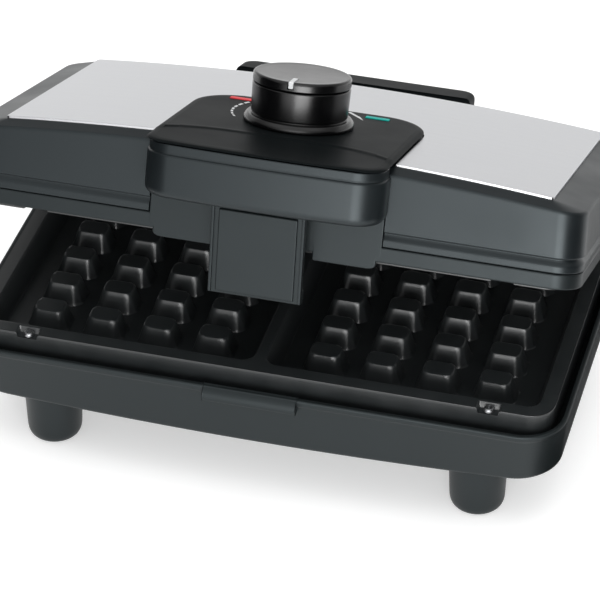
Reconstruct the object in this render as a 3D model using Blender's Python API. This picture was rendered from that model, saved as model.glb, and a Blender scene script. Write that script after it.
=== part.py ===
"""Waffle iron with two wells, its lid open, with a latch, a heat knob and two indicator lenses.

The closed product is drawn with X to the right, Y to the back and Z up, the front wall's foot at Y = 0
and the table at Z = 0. Pieces of the lid hang on an empty on the hinge axis, which turns them open.
"""
import math

import bmesh
import bpy
from mathutils import Matrix

# Clearances between pieces
SEAT_GAP = 0.0003
RUN_GAP = 0.0006
OVERRUN = 0.0015

# Body outline, shared by the base and the lid
HALF_WIDTH = 0.137
BODY_FRONT = 0.0005
BODY_DEPTH = 0.1505
CORNER_RADIUS = 0.020
LID_CORNER_RADIUS = 0.012
REAR_CORNER_RADIUS = 0.014
WALL = 0.0024
BODY_BACK = BODY_FRONT + BODY_DEPTH

# Base tub
TUB_CLEARANCE = 0.0283
TUB_HEIGHT = 0.0274
TUB_FLOOR = 0.0024
TUB_DRAFT = 0.0024
TUB_FRONT_BOW = 0.0055
TUB_FOOT_ROUND = 0.0016
TUB_RIM_ROUND = 0.0012
VENT_LENGTH = 0.034
VENT_WIDTH = 0.003
VENT_PITCH = 0.009
VENT_COUNT = 5
VENT_OFFSET_X = 0.055
TUB_RIM_Z = TUB_CLEARANCE + TUB_HEIGHT
TUB_INSIDE_Z = TUB_CLEARANCE + TUB_FLOOR

# Feet
FOOT_INSET_X = 0.039
FRONT_FOOT_INSET = 0.021
REAR_FOOT_INSET = 0.022
FOOT_TOP_RADIUS = 0.0132
FOOT_LOW_RADIUS = 0.0122
FOOT_EDGE_ROUND = 0.0040
FOOT_LIFT = 0.0006
PAD_RADIUS = 0.0064
PAD_HEIGHT = 0.0022

# Baking plates
PLATE_SIDE_MARGIN = 0.0032
PLATE_FRONT_MARGIN = 0.0045
PLATE_BACK_MARGIN = 0.0040
PLATE_CORNER_RADIUS = 0.011
PLATE_RISE = 0.0073
PLATE_DEPTH = 0.0160
PLATE_SKIRT_STEP = 0.0007
PLATE_FLANGE = 0.0018
WELL_RIM = 0.0066
WELL_DIVIDER = 0.0050
WELL_DEPTH = 0.0120
WELL_DRAFT = 0.0038
WELL_CORNER_RADIUS = 0.0060
PEG_COLUMNS = 4
PEG_ROWS = 5
PEG_MARGIN_X = 0.0096
PEG_MARGIN_Y = 0.0088
PEG_GAP_X = 0.0065
PEG_GAP_Y = 0.0057
PEG_TAPER = 0.0027
PEG_CLIP = 0.0033
PEG_HEIGHT = 0.0092
NOTCH_WIDTH = 0.0100
NOTCH_DEPTH = 0.0050
NOTCH_HEIGHT = 0.0026
PLATE_SCREW_INSET_X = 0.0275
PLATE_SCREW_INSET_Y = 0.0025
PLATE_SCREW_HEAD_RADIUS = 0.0022
PLATE_SCREW_HEAD = 0.0018
PLATE_SCREW_SHANK_RADIUS = 0.0013
PLATE_SCREW_LENGTH = 0.0200
BOSS_RADIUS = 0.0034
PLATE_HALF_WIDTH = HALF_WIDTH - WALL - PLATE_SIDE_MARGIN
PLATE_FRONT = BODY_FRONT + WALL + PLATE_FRONT_MARGIN
PLATE_BACK = BODY_BACK - WALL - PLATE_BACK_MARGIN
PLATE_TOP_Z = TUB_RIM_Z + PLATE_RISE
PLATE_FOOT_Z = PLATE_TOP_Z - PLATE_DEPTH
MATE_Z = PLATE_TOP_Z + SEAT_GAP / 2
PLATE_SCREW_X = PLATE_HALF_WIDTH - PLATE_SCREW_INSET_X

# Heaters and trays
HEATER_RADIUS = 0.0032
HEATER_SIDE_INSET = 0.0334
HEATER_END_INSET = 0.0286
HEATER_BEND = 0.018
HEATER_END_X = 0.016
HEATER_END_REACH = 0.0120
HEATER_END_BEND = 0.0105
TRAY_SIDE_INSET = 0.0174
TRAY_FRONT_INSET = 0.0146
TRAY_BACK_INSET = 0.0116
TRAY_SHEET = 0.0010
TRAY_RIM = 0.0034
TRAY_CORNER_RADIUS = 0.010
TRAY_DROP = 0.0110
TRAY_POST_RADIUS = 0.0040
TRAY_POST_INSET_X = 0.026
TRAY_POST_INSET_Y = 0.020
CLAMP_INSET = 0.006
CLAMP_WIDTH = 0.009
CLAMP_SHEET = 0.0010
HEATER_HALF_WIDTH = PLATE_HALF_WIDTH - HEATER_SIDE_INSET
HEATER_FRONT = PLATE_FRONT + HEATER_END_INSET
HEATER_BACK = PLATE_BACK - HEATER_END_INSET
HEATER_END_BACK = HEATER_BACK + HEATER_END_REACH
TRAY_HALF_WIDTH = PLATE_HALF_WIDTH - TRAY_SIDE_INSET
TRAY_FRONT = PLATE_FRONT + TRAY_FRONT_INSET
TRAY_BACK = PLATE_BACK - TRAY_BACK_INSET

# Latch
LATCH_HALF_WIDTH = 0.0205
LATCH_BARREL_RADIUS = 0.0034
LATCH_THICKNESS = 0.0026
LATCH_TOP_INSET = 0.0042
LATCH_DROP = 0.0220
LATCH_SLOPE = 0.0060
LATCH_HEAD_INSET = 0.0031
LATCH_HEAD_RISE = 0.0010
HOOK_CATCH = 0.0013
HOOK_LEAD = 0.0014
PIN_RADIUS = 0.0015
PIN_SEAT = 0.0035
SPRING_BAY_HALF_WIDTH = 0.0065
SPRING_WIRE_RADIUS = 0.0004
SPRING_RADIUS = 0.0026
SPRING_PITCH = 0.0015
SPRING_TURNS = 5
SPRING_POINTS_PER_TURN = 10
SPRING_LEG = 0.0062
SPRING_LEG_RISE = 0.0019

# Catch on the base
CATCH_SIDE_LAP = 0.0006
CATCH_TAPER = 0.0010
CATCH_REACH = 0.0027
CATCH_PROUD = 0.0003
CATCH_DROP = 0.0045
CATCH_NOSE = 0.0016
CATCH_SLOPE_SHARES = ((0.0, 0.0), (0.48, 0.19), (0.86, 0.60), (1.0, 1.0))
CATCH_HALF_WIDTH = LATCH_HALF_WIDTH + CATCH_SIDE_LAP

# Lid, closed
LID_RIM_RISE = 0.0020
LID_FACE_INSET = 0.0025
FRAME_HEIGHT = 0.0069
LIP_HEIGHT = 0.0028
GROOVE_HEIGHT = 0.0036
GROOVE_DEPTH = 0.0013
FACE_TOP = 0.0398
FACE_LEAN = 0.0005
CROWN_RISE = 0.0022
CROWN_DROP = 0.0069
CROWN_INSET_X = 0.0150
CROWN_INSET_Y = 0.0066
CROWN_RADIUS = 0.0020
SHELL_TOP = 0.0022
LID_RIM_Z = PLATE_TOP_Z + LID_RIM_RISE
LID_FACE_Y = BODY_FRONT + LID_FACE_INSET
SHELL_FOOT_Z = LID_RIM_Z + FRAME_HEIGHT + SEAT_GAP
FACE_TOP_Z = LID_RIM_Z + FACE_TOP
CROWN_TOP_Z = FACE_TOP_Z + CROWN_RISE
CEILING_Z = CROWN_TOP_Z - SHELL_TOP

# Steel cover
STEEL_INSET_X = 0.0158
STEEL_INSET_FRONT = 0.0073
STEEL_INSET_BACK = 0.0077
STEEL_THICKNESS = 0.0008
STEEL_CORNER_RADIUS = 0.0014

# Console
CONSOLE_HALF_WIDTH = 0.0525
GRIP_REACH = 0.0205
GRIP_FOOT_RISE = 0.0113
GRIP_FOOT_ARCH = 0.0007
GRIP_CORNER_RADIUS = 0.0125
GRIP_BACK_RADIUS = 0.0006
GRIP_FOOT_ROUND = 0.0034
GRIP_LINE_DROP = 0.0044
GRIP_LINE_DEPTH = 0.0010
GRIP_LINE_WIDTH = 0.0008
GRIP_BAND_INSET = 0.0008
POCKET_FRONT_WALL = 0.0022
POCKET_BACK_WALL = 0.0024
POCKET_ROOF = 0.0040
LATCH_PIVOT_RISE = 0.0068
LATCH_PIVOT_INSET = 0.0105
DECK_SETBACK = 0.0009
DECK_LENGTH = 0.1026
DECK_RISE = 0.0005
DECK_THICKNESS = 0.0021
DECK_FRONT_RADIUS = 0.0090
DECK_REAR_RADIUS = 0.0220
DECK_BEVEL = 0.0032
DECK_BEVEL_DROP = 0.0010
DECK_BEVEL_SHARES = ((0.0, 1.0), (0.22, 0.42), (0.58, 0.1), (1.0, 0.0))
LENS_SIDE_INSET = 0.0213
LENS_CENTRE_X = -0.0022
LENS_INSET_Y = 0.0092
LENS_LENGTH = 0.0108
LENS_WIDTH = 0.0036
LENS_RISE = 0.0003
LENS_FLANGE = 0.0009
LENS_FLANGE_HEIGHT = 0.0010
WELLHOLE_MARGIN = 0.0008
WELLHOLE_FRONT_REACH = 0.0240
DOOR_INSET = 0.0005
EAR_SIDE_INSET = 0.0024
EAR_LATCH_GAP = 0.0011
EAR_DROP = 0.0035
EAR_ROUND = 0.0050
PANEL_LAP = 0.0048
BOARD_SIDE_INSET = 0.0045
BOARD_FRONT_REACH = 0.0180
BOARD_BACK_INSET = 0.0030
BOARD_SHEET = 0.0016
BOARD_POST = 0.0038
BOARD_POST_RADIUS = 0.0030
BOARD_POST_MARGIN = 0.0007
BOARD_POST_INSET_Y = 0.0060
LAMP_RADIUS = 0.0024
THERMOSTAT_LENGTH = 0.028
THERMOSTAT_WIDTH = 0.024
FUSE_RADIUS = 0.0022
FUSE_LENGTH = 0.014
FUSE_OFFSET_X = 0.060
FUSE_OFFSET_Y = 0.012
DECK_FOOT_Z = CROWN_TOP_Z + DECK_RISE
DECK_TOP_Z = DECK_FOOT_Z + DECK_THICKNESS
GRIP_FRONT = LID_FACE_Y - GRIP_REACH
GRIP_BACK = LID_FACE_Y - SEAT_GAP
GRIP_FOOT_Z = LID_RIM_Z + FRAME_HEIGHT + GRIP_FOOT_RISE
GRIP_TOP_Z = DECK_FOOT_Z - SEAT_GAP
DECK_FRONT = GRIP_FRONT + DECK_SETBACK
DECK_BACK = DECK_FRONT + DECK_LENGTH
LENS_Y = DECK_BACK - LENS_INSET_Y
LENS_OFFSET_X = CONSOLE_HALF_WIDTH - LENS_SIDE_INSET
PANEL_TOP_Z = GRIP_FOOT_Z + PANEL_LAP
DOOR_HALF_WIDTH = CONSOLE_HALF_WIDTH - DOOR_INSET
EAR_INNER_X = LATCH_HALF_WIDTH + EAR_LATCH_GAP
EAR_OUTER_X = DOOR_HALF_WIDTH - EAR_SIDE_INSET
LATCH_PIVOT_Z = GRIP_FOOT_Z + LATCH_PIVOT_RISE
LATCH_PIVOT_Y = GRIP_FRONT + LATCH_PIVOT_INSET
BOARD_TOP_Z = CEILING_Z - BOARD_POST - SEAT_GAP

# Knob
KNOB_INSET_Y = 0.0646
KNOB_SKIRT_RADIUS = 0.0243
KNOB_SKIRT_HEIGHT = 0.0036
KNOB_FOOT_RADIUS = 0.0213
KNOB_TOP_RADIUS = 0.0216
KNOB_HEIGHT = 0.0172
KNOB_CAP_HEIGHT = 0.0044
KNOB_CAP_ROUND = 0.0012
POINTER_WIDTH = 0.0022
POINTER_LENGTH = 0.0090
POINTER_RISE = 0.0002
SHAFT_RADIUS = 0.0030
SHAFT_REACH = 0.0120
KNOB_Y = DECK_FRONT + KNOB_INSET_Y

# Hinge
HINGE_SETBACK = 0.0110
HINGE_RISE = 0.0057
OPEN_DEGREES = 20.5
KNUCKLE_RADIUS = 0.0072
HINGE_PIN_RADIUS = 0.0025
LUG_INNER_X = 0.0370
LUG_WIDTH = 0.0115
ARM_WIDTH = 0.0072
ARM_DEPTH = 0.0130
BAR_FOOT_RISE = 0.0100
BAR_TOP_RISE = 0.0004
BAR_DEPTH = 0.0187
BAR_ROUND = 0.0030
BAR_CORNER_RADIUS = 0.0070
BAR_FRONT_RADIUS = 0.0008
HINGE_Y = BODY_BACK + HINGE_SETBACK
HINGE_Z = TUB_CLEARANCE + HINGE_RISE

# Rear of the base
GLAND_X = -0.088
GLAND_RISE = 0.0137
GLAND_RADIUS = 0.0075
GLAND_FLANGE = 0.0022
GLAND_NECK_RADIUS = 0.0056
GLAND_BORE_RADIUS = 0.0034
TERMINAL_X = -0.052
TERMINAL_LENGTH = 0.030
TERMINAL_WIDTH = 0.009
TERMINAL_HEIGHT = 0.010
GLAND_Z = TUB_CLEARANCE + GLAND_RISE

# Distance from the front wall to the middle of the open product's box
ORIGIN_SETBACK = 0.0955
ORIGIN_Y = BODY_FRONT + ORIGIN_SETBACK

# Counts of facets
CORNER_STEPS = 5
ROUND_SIDES = 24
SMALL_SIDES = 14
CROWN_SHARES = (-0.8, -0.6, -0.4, -0.2, 0.0, 0.2, 0.4, 0.6, 0.8)
BOW_SHARES = (-0.75, -0.5, -0.25, 0.0, 0.25, 0.5, 0.75)


def named_finish(name, colour, metallic, roughness):
    finish = bpy.data.materials.new(name + " finish")
    finish.use_nodes = True
    shader = finish.node_tree.nodes["Principled BSDF"]
    shader.inputs["Base Color"].default_value = (*colour, 1.0)
    shader.inputs["Metallic"].default_value = metallic
    shader.inputs["Roughness"].default_value = roughness
    return finish


PLASTIC = ((0.04, 0.042, 0.045), 0.0, 0.42)
GREY_PLASTIC = ((0.085, 0.09, 0.095), 0.0, 0.45)
SATIN = ((0.02, 0.02, 0.022), 0.0, 0.25)
STEEL = ((0.58, 0.58, 0.59), 1.0, 0.32)
COATED = ((0.03, 0.03, 0.032), 0.2, 0.38)
RUBBER = ((0.015, 0.015, 0.015), 0.0, 0.8)
RED = ((0.75, 0.06, 0.04), 0.0, 0.2)
GREEN = ((0.0, 0.36, 0.2), 0.0, 0.2)
WHITE = ((0.8, 0.8, 0.8), 0.0, 0.5)
CERAMIC = ((0.62, 0.6, 0.55), 0.0, 0.6)


def clear_scene():
    for thing in list(bpy.data.objects):
        bpy.data.objects.remove(thing, do_unlink=True)


def make_collection(name):
    group = bpy.data.collections.new(name)
    bpy.context.scene.collection.children.link(group)
    return group


class Seat:
    """A body's parent empty and the drawn place that it stands for."""

    def __init__(self, name, place, parent=None, turn=0.0):
        self.place = place
        self.empty = bpy.data.objects.new(name, None)
        PARTS.objects.link(self.empty)
        drawn = parent.place if parent else (0.0, ORIGIN_Y, 0.0)
        self.empty.location = [a - b for a, b in zip(place, drawn)]
        self.empty.rotation_euler = (turn, 0.0, 0.0)
        if parent:
            self.empty.parent = parent.empty

    def hold(self, thing):
        thing.parent = self.empty
        thing.location = [-value for value in self.place]


def add(name, mesh, seat, finish):
    """Puts a mesh drawn in the closed product's place on a body, as a piece of its own."""
    piece = bpy.data.objects.new(name, mesh)
    PARTS.objects.link(piece)
    seat.hold(piece)
    piece.data.materials.append(named_finish(name, *finish))
    return piece


def from_bmesh(name, bm):
    bmesh.ops.recalc_face_normals(bm, faces=bm.faces[:])
    mesh = bpy.data.meshes.new(name)
    bm.to_mesh(mesh)
    bm.free()
    return mesh


def combine(piece, mesh, operation):
    """Cuts a mesh out of a piece or fuses it on, with a tool object that keeps the piece's place."""
    tool = bpy.data.objects.new(mesh.name, mesh)
    TOOLS.objects.link(tool)
    tool.parent = piece.parent
    tool.location = piece.location
    tool.hide_render = True
    tool.display_type = "WIRE"
    step = piece.modifiers.new(mesh.name, "BOOLEAN")
    step.operation = operation
    step.solver = "EXACT"
    step.object = tool


def cut(piece, mesh):
    combine(piece, mesh, "DIFFERENCE")


def fuse(piece, mesh):
    combine(piece, mesh, "UNION")


def outline(half_width, front, back, front_radius, back_radius, shares, bow=0.0):
    """Rounded rectangle seen from above: the front edge left to right, then the back edge right to left."""
    front_edge, back_edge = [], []
    turns = [math.pi / 2 * (1 - step / CORNER_STEPS) for step in range(CORNER_STEPS + 1)]
    sides = ((front_edge, front, front_radius, 1), (back_edge, back, back_radius, -1))
    for edge, line, radius, sign in sides:
        straight = half_width - radius
        left = [(-straight - radius * math.sin(turn), line + sign * radius * (1 - math.cos(turn)))
                for turn in turns]
        edge += left + [(straight * share, line) for share in shares]
        edge += [(-x, y) for x, y in reversed(left)]
    front_edge = [(x, y + bow * (x / half_width) ** 2) for x, y in front_edge]
    return front_edge + back_edge[::-1]


def ring(points, height, drop=0.0, half_width=HALF_WIDTH):
    """Lifts an outline to a height, lower towards its sides by a crown's drop at the body's half width."""
    return [(x, y, height - drop * (x / half_width) ** 2) for x, y in points]


def loft(name, rings, closed=False):
    """Skins rings of like count; the first and last are capped by strips from front to back."""
    bm = bmesh.new()
    rows = [[bm.verts.new(point) for point in points] for points in rings]
    count = len(rows[0])
    pairs = list(zip(rows, rows[1:]))
    if closed:
        pairs.append((rows[-1], rows[0]))
    for low, high in pairs:
        for k in range(count):
            n = (k + 1) % count
            bm.faces.new((low[k], low[n], high[n], high[k]))
    if not closed:
        for row in (rows[0], rows[-1]):
            for k in range(count // 2 - 1):
                bm.faces.new((row[k], row[k + 1], row[count - 2 - k], row[count - 1 - k]))
    return from_bmesh(name, bm)


def block(name, low, high):
    """Box between two corners."""
    bm = bmesh.new()
    bmesh.ops.create_cube(bm, size=1.0)
    for vert in bm.verts:
        vert.co = [a + (b - a) * (value + 0.5) for a, b, value in zip(low, high, vert.co)]
    return from_bmesh(name, bm)


def blocks(name, boxes):
    """Several boxes as one mesh."""
    bm = bmesh.new()
    for low, high in boxes:
        made = bmesh.ops.create_cube(bm, size=1.0)["verts"]
        for vert in made:
            vert.co = [a + (b - a) * (value + 0.5) for a, b, value in zip(low, high, vert.co)]
    return from_bmesh(name, bm)


def rods(name, ends, radius, sides=ROUND_SIDES):
    """Round rods between pairs of points, as one mesh; each rod lies along one axis."""
    bm = bmesh.new()
    for start, end in ends:
        reach = [b - a for a, b in zip(start, end)]
        length = max(abs(value) for value in reach)
        middle = [(a + b) / 2 for a, b in zip(start, end)]
        if abs(reach[0]) == length:
            turn = Matrix.Rotation(math.pi / 2, 4, "Y")
        elif abs(reach[1]) == length:
            turn = Matrix.Rotation(math.pi / 2, 4, "X")
        else:
            turn = Matrix.Identity(4)
        bmesh.ops.create_cone(bm, cap_ends=True, segments=sides, radius1=radius, radius2=radius,
                              depth=length, matrix=Matrix.Translation(middle) @ turn)
    return from_bmesh(name, bm)


def lathe(name, profile, place, sides=ROUND_SIDES, along_y=False):
    """Turns a profile of radius and height round a vertical line, or round one that runs back."""
    bm = bmesh.new()
    rows = []
    for radius, height in profile:
        if radius == 0.0:
            rows.append([bm.verts.new((0.0, 0.0, height))])
        else:
            rows.append([bm.verts.new((radius * math.cos(turn), radius * math.sin(turn), height))
                         for turn in [2 * math.pi * k / sides for k in range(sides)]])
    loop = rows + ([rows[0]] if len(rows[0]) > 1 and len(rows[-1]) > 1 else [])
    for low, high in zip(loop, loop[1:]):
        for k in range(sides):
            n = (k + 1) % sides
            corners = [low[k % len(low)], low[n % len(low)], high[n % len(high)], high[k % len(high)]]
            distinct = list(dict.fromkeys(corners))
            bm.faces.new(distinct)
    turn = Matrix.Rotation(-math.pi / 2, 4, "X") if along_y else Matrix.Identity(4)
    bmesh.ops.transform(bm, matrix=Matrix.Translation(place) @ turn, verts=bm.verts[:])
    return from_bmesh(name, bm)


def prism(name, profile, left, right):
    """Extrudes a profile of (Y, Z) points across the product, from one X to another."""
    bm = bmesh.new()
    near = [bm.verts.new((left, y, z)) for y, z in profile]
    far = [bm.verts.new((right, y, z)) for y, z in profile]
    bm.faces.new(near)
    bm.faces.new(far)
    for k in range(len(profile)):
        n = (k + 1) % len(profile)
        bm.faces.new((near[k], near[n], far[n], far[k]))
    return from_bmesh(name, bm)


def arc(centre, radius, start, end, steps):
    """Points of an arc, angles in degrees from the first axis towards the second."""
    turns = [math.radians(start + (end - start) * k / steps) for k in range(steps + 1)]
    return [(centre[0] + radius * math.cos(turn), centre[1] + radius * math.sin(turn)) for turn in turns]


def wire(name, points, radius, seat, finish, resolution=1):
    """Round wire through points, its ends closed."""
    curve = bpy.data.curves.new(name, "CURVE")
    curve.dimensions = "3D"
    curve.bevel_depth = radius
    curve.bevel_resolution = resolution
    curve.use_fill_caps = True
    line = curve.splines.new("POLY")
    line.points.add(len(points) - 1)
    for spot, point in zip(line.points, points):
        spot.co = (*point, 1.0)
    piece = bpy.data.objects.new(name, curve)
    PARTS.objects.link(piece)
    seat.hold(piece)
    curve.materials.append(named_finish(name, *finish))
    return piece


def make_tub():
    """Base tub with rounded foot, bowed front foot, drafted walls, vents, bosses, posts, lugs and catch."""
    def level(inset, height, at_height=None):
        """Outline at a height, inset from a wall whose draft and front bow fade from the foot to the rim."""
        share = 1 - ((at_height or height) - TUB_CLEARANCE) / (TUB_RIM_Z - TUB_CLEARANCE)
        draft = TUB_DRAFT * share
        return ring(outline(HALF_WIDTH - draft - inset, BODY_FRONT + inset, BODY_BACK - draft - inset,
                            CORNER_RADIUS - inset, REAR_CORNER_RADIUS - inset, BOW_SHARES,
                            TUB_FRONT_BOW * share), height)

    half_round = TUB_FOOT_ROUND * (1 - math.sqrt(0.5))
    rings = [
        level(TUB_FOOT_ROUND, TUB_CLEARANCE),
        level(half_round, TUB_CLEARANCE + half_round),
        level(0.0, TUB_CLEARANCE + TUB_FOOT_ROUND),
        level(0.0, TUB_RIM_Z - TUB_RIM_ROUND),
        level(TUB_RIM_ROUND * (1 - math.sqrt(0.5)), TUB_RIM_Z - TUB_RIM_ROUND * (1 - math.sqrt(0.5))),
        level(TUB_RIM_ROUND, TUB_RIM_Z),
        level(WALL, TUB_RIM_Z),
        level(WALL, TUB_INSIDE_Z + TUB_FOOT_ROUND),
        level(WALL + TUB_FOOT_ROUND, TUB_INSIDE_Z),
    ]
    tub = add("base_housing", loft("base_housing", rings), BASE, PLASTIC)
    vents = []
    for side in (-1, 1):
        for k in range(VENT_COUNT):
            y = (BODY_FRONT + BODY_BACK) / 2 + (k - (VENT_COUNT - 1) / 2) * VENT_PITCH
            x = side * VENT_OFFSET_X
            vents.append(((x - VENT_LENGTH / 2, y - VENT_WIDTH / 2, TUB_CLEARANCE - OVERRUN),
                          (x + VENT_LENGTH / 2, y + VENT_WIDTH / 2, TUB_INSIDE_Z + OVERRUN)))
    cut(tub, blocks("base vents", vents))
    root = TUB_INSIDE_Z - TUB_FLOOR / 2
    bosses = [((x, y, root), (x, y, PLATE_FOOT_Z - SEAT_GAP)) for x, y in plate_screw_places()]
    fuse(tub, rods("base bosses", bosses, BOSS_RADIUS, SMALL_SIDES))
    posts = [((x, y, root), (x, y, PLATE_FOOT_Z - TRAY_DROP - SEAT_GAP)) for x, y in tray_post_places()]
    fuse(tub, rods("base tray posts", posts, TRAY_POST_RADIUS, SMALL_SIDES))
    cut(tub, rods("base screw bores", [((x, y, PLATE_FOOT_Z - PLATE_SCREW_LENGTH),
                                        (x, y, PLATE_FOOT_Z + OVERRUN)) for x, y in plate_screw_places()],
                  PLATE_SCREW_SHANK_RADIUS + SEAT_GAP, SMALL_SIDES))
    fuse(tub, catch_mesh())
    lug = arc((HINGE_Y, HINGE_Z), KNUCKLE_RADIUS, -90, 90, 8)
    root_y = BODY_BACK - TUB_DRAFT - WALL / 2
    lug += [(root_y, HINGE_Z + KNUCKLE_RADIUS), (root_y, HINGE_Z - KNUCKLE_RADIUS / 4)]
    for side, name in ((-1, "left"), (1, "right")):
        ends = sorted((side * LUG_INNER_X, side * (LUG_INNER_X + LUG_WIDTH)))
        fuse(tub, prism("base lug " + name, lug, *ends))
    bore = [((side * LUG_INNER_X - side * OVERRUN, HINGE_Y, HINGE_Z),
             (side * (LUG_INNER_X + LUG_WIDTH + OVERRUN), HINGE_Y, HINGE_Z)) for side in (-1, 1)]
    cut(tub, rods("base hinge bores", bore, HINGE_PIN_RADIUS + SEAT_GAP, SMALL_SIDES))
    cut(tub, rods("base gland hole", [((GLAND_X, BODY_BACK - WALL - TUB_DRAFT - OVERRUN, GLAND_Z),
                                       (GLAND_X, BODY_BACK + OVERRUN, GLAND_Z))],
                  GLAND_NECK_RADIUS + SEAT_GAP, SMALL_SIDES))


def catch_mesh():
    """Tapered ramp from the rim's inner edge down to a nose that the latch hooks under."""
    inner = BODY_FRONT + WALL
    run = inner - BODY_FRONT + CATCH_REACH
    top = TUB_RIM_Z + CATCH_PROUD
    low = catch_foot()
    profile = [(inner - run * a, top - CATCH_DROP * b, CATCH_TAPER * a) for a, b in CATCH_SLOPE_SHARES]
    profile += [(BODY_FRONT - CATCH_REACH, low, CATCH_TAPER), (BODY_FRONT + WALL / 2, low, 0.0),
                (BODY_FRONT + WALL / 2, TUB_RIM_Z - WALL, 0.0), (inner, TUB_RIM_Z - WALL, 0.0)]
    bm = bmesh.new()
    sides = [[bm.verts.new((side * (CATCH_HALF_WIDTH - taper), y, z)) for y, z, taper in profile]
             for side in (-1, 1)]
    for row in sides:
        bm.faces.new(row)
    for k in range(len(profile)):
        n = (k + 1) % len(profile)
        bm.faces.new((sides[0][k], sides[0][n], sides[1][n], sides[1][k]))
    bmesh.ops.triangulate(bm, faces=bm.faces[:])
    return from_bmesh("base catch", bm)


def catch_foot():
    return TUB_RIM_Z + CATCH_PROUD - CATCH_DROP - CATCH_NOSE


def plate_screw_places():
    return [(side * PLATE_SCREW_X, y) for side in (-1, 1)
            for y in (PLATE_FRONT + PLATE_SCREW_INSET_Y, PLATE_BACK - PLATE_SCREW_INSET_Y)]


def tray_post_places():
    return [(side * (TRAY_HALF_WIDTH - TRAY_POST_INSET_X), y) for side in (-1, 1)
            for y in (TRAY_FRONT + TRAY_POST_INSET_Y, TRAY_BACK - TRAY_POST_INSET_Y)]


def upper(z):
    """Height on the upper plate that answers to one on the lower plate."""
    return 2 * MATE_Z - z


def make_plate(name, seat, level):
    """Baking plate with a flange, two drafted wells, a field of pegs in each, and four screw notches."""
    def edge(inset, z):
        return ring(outline(PLATE_HALF_WIDTH - inset, PLATE_FRONT + inset, PLATE_BACK - inset,
                            PLATE_CORNER_RADIUS, PLATE_CORNER_RADIUS, BOW_SHARES), level(z))

    rings = [edge(PLATE_SKIRT_STEP, PLATE_FOOT_Z), edge(PLATE_SKIRT_STEP, PLATE_TOP_Z - PLATE_FLANGE),
             edge(0.0, PLATE_TOP_Z - PLATE_FLANGE), edge(0.0, PLATE_TOP_Z)]
    plate = add(name, loft(name, rings), seat, COATED)
    front = PLATE_FRONT + WELL_RIM
    back = PLATE_BACK - WELL_RIM
    half = (PLATE_HALF_WIDTH - WELL_RIM - WELL_DIVIDER / 2) / 2
    middle = WELL_DIVIDER / 2 + half
    floor_z = PLATE_TOP_Z - WELL_DEPTH
    slope = WELL_DRAFT / WELL_DEPTH
    for side, label in ((-1, "left"), (1, "right")):
        rings = []
        for z in (floor_z, PLATE_TOP_Z + OVERRUN):
            inset = slope * (PLATE_TOP_Z - z)
            flat = outline(half - inset, front + inset, back - inset, WELL_CORNER_RADIUS,
                           WELL_CORNER_RADIUS, (0.0,))
            rings.append([(x + side * middle, y, level(z)) for x, y in flat])
        cut(plate, loft(name + " well " + label, rings))
    field_x = 2 * (half - WELL_DRAFT - PEG_MARGIN_X) + PEG_GAP_X
    field_y = back - front - 2 * (WELL_DRAFT + PEG_MARGIN_Y) + PEG_GAP_Y
    pitch_x, pitch_y = field_x / PEG_COLUMNS, field_y / PEG_ROWS
    bm = bmesh.new()
    for side in (-1, 1):
        for column in range(PEG_COLUMNS):
            for row in range(PEG_ROWS):
                x = side * middle + (column - (PEG_COLUMNS - 1) / 2) * pitch_x
                y = (front + back) / 2 + (row - (PEG_ROWS - 1) / 2) * pitch_y
                add_peg(bm, x, y, floor_z, pitch_x - PEG_GAP_X, pitch_y - PEG_GAP_Y, level)
    fuse(plate, from_bmesh(name + " pegs", bm))
    notches = []
    for side in (-1, 1):
        for line, sign in ((PLATE_FRONT, 1), (PLATE_BACK, -1)):
            near, far = sorted((line - sign * OVERRUN, line + sign * NOTCH_DEPTH))
            low, high = sorted((level(PLATE_TOP_Z - NOTCH_HEIGHT), level(PLATE_TOP_Z + OVERRUN)))
            notches.append(((side * PLATE_SCREW_X - NOTCH_WIDTH / 2, near, low),
                            (side * PLATE_SCREW_X + NOTCH_WIDTH / 2, far, high)))
    cut(plate, blocks(name + " notches", notches))
    bores = [((x, y, level(PLATE_FOOT_Z - OVERRUN)), (x, y, level(PLATE_TOP_Z)))
             for x, y in plate_screw_places()]
    cut(plate, rods(name + " screw holes", bores, PLATE_SCREW_SHANK_RADIUS + SEAT_GAP, SMALL_SIDES))


def add_peg(bm, x, y, floor_z, foot_x, foot_y, level):
    """One tapered peg with clipped corners, rooted a little below the well's floor."""
    root = (PLATE_DEPTH - WELL_DEPTH) / 4
    rows = []
    for taper, z in ((0.0, floor_z - root), (0.0, floor_z), (PEG_TAPER, floor_z + PEG_HEIGHT)):
        a, b = foot_x / 2 - taper, foot_y / 2 - taper
        clip = PEG_CLIP - taper / 2
        flat = [(a - clip, -b), (a, clip - b), (a, b - clip), (a - clip, b),
                (clip - a, b), (-a, b - clip), (-a, clip - b), (clip - a, -b)]
        rows.append([bm.verts.new((x + dx, y + dy, level(z))) for dx, dy in flat])
    for low, high in zip(rows, rows[1:]):
        for k in range(len(low)):
            n = (k + 1) % len(low)
            bm.faces.new((low[k], low[n], high[n], high[k]))
    bm.faces.new(rows[0])
    bm.faces.new(rows[-1])


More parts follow.
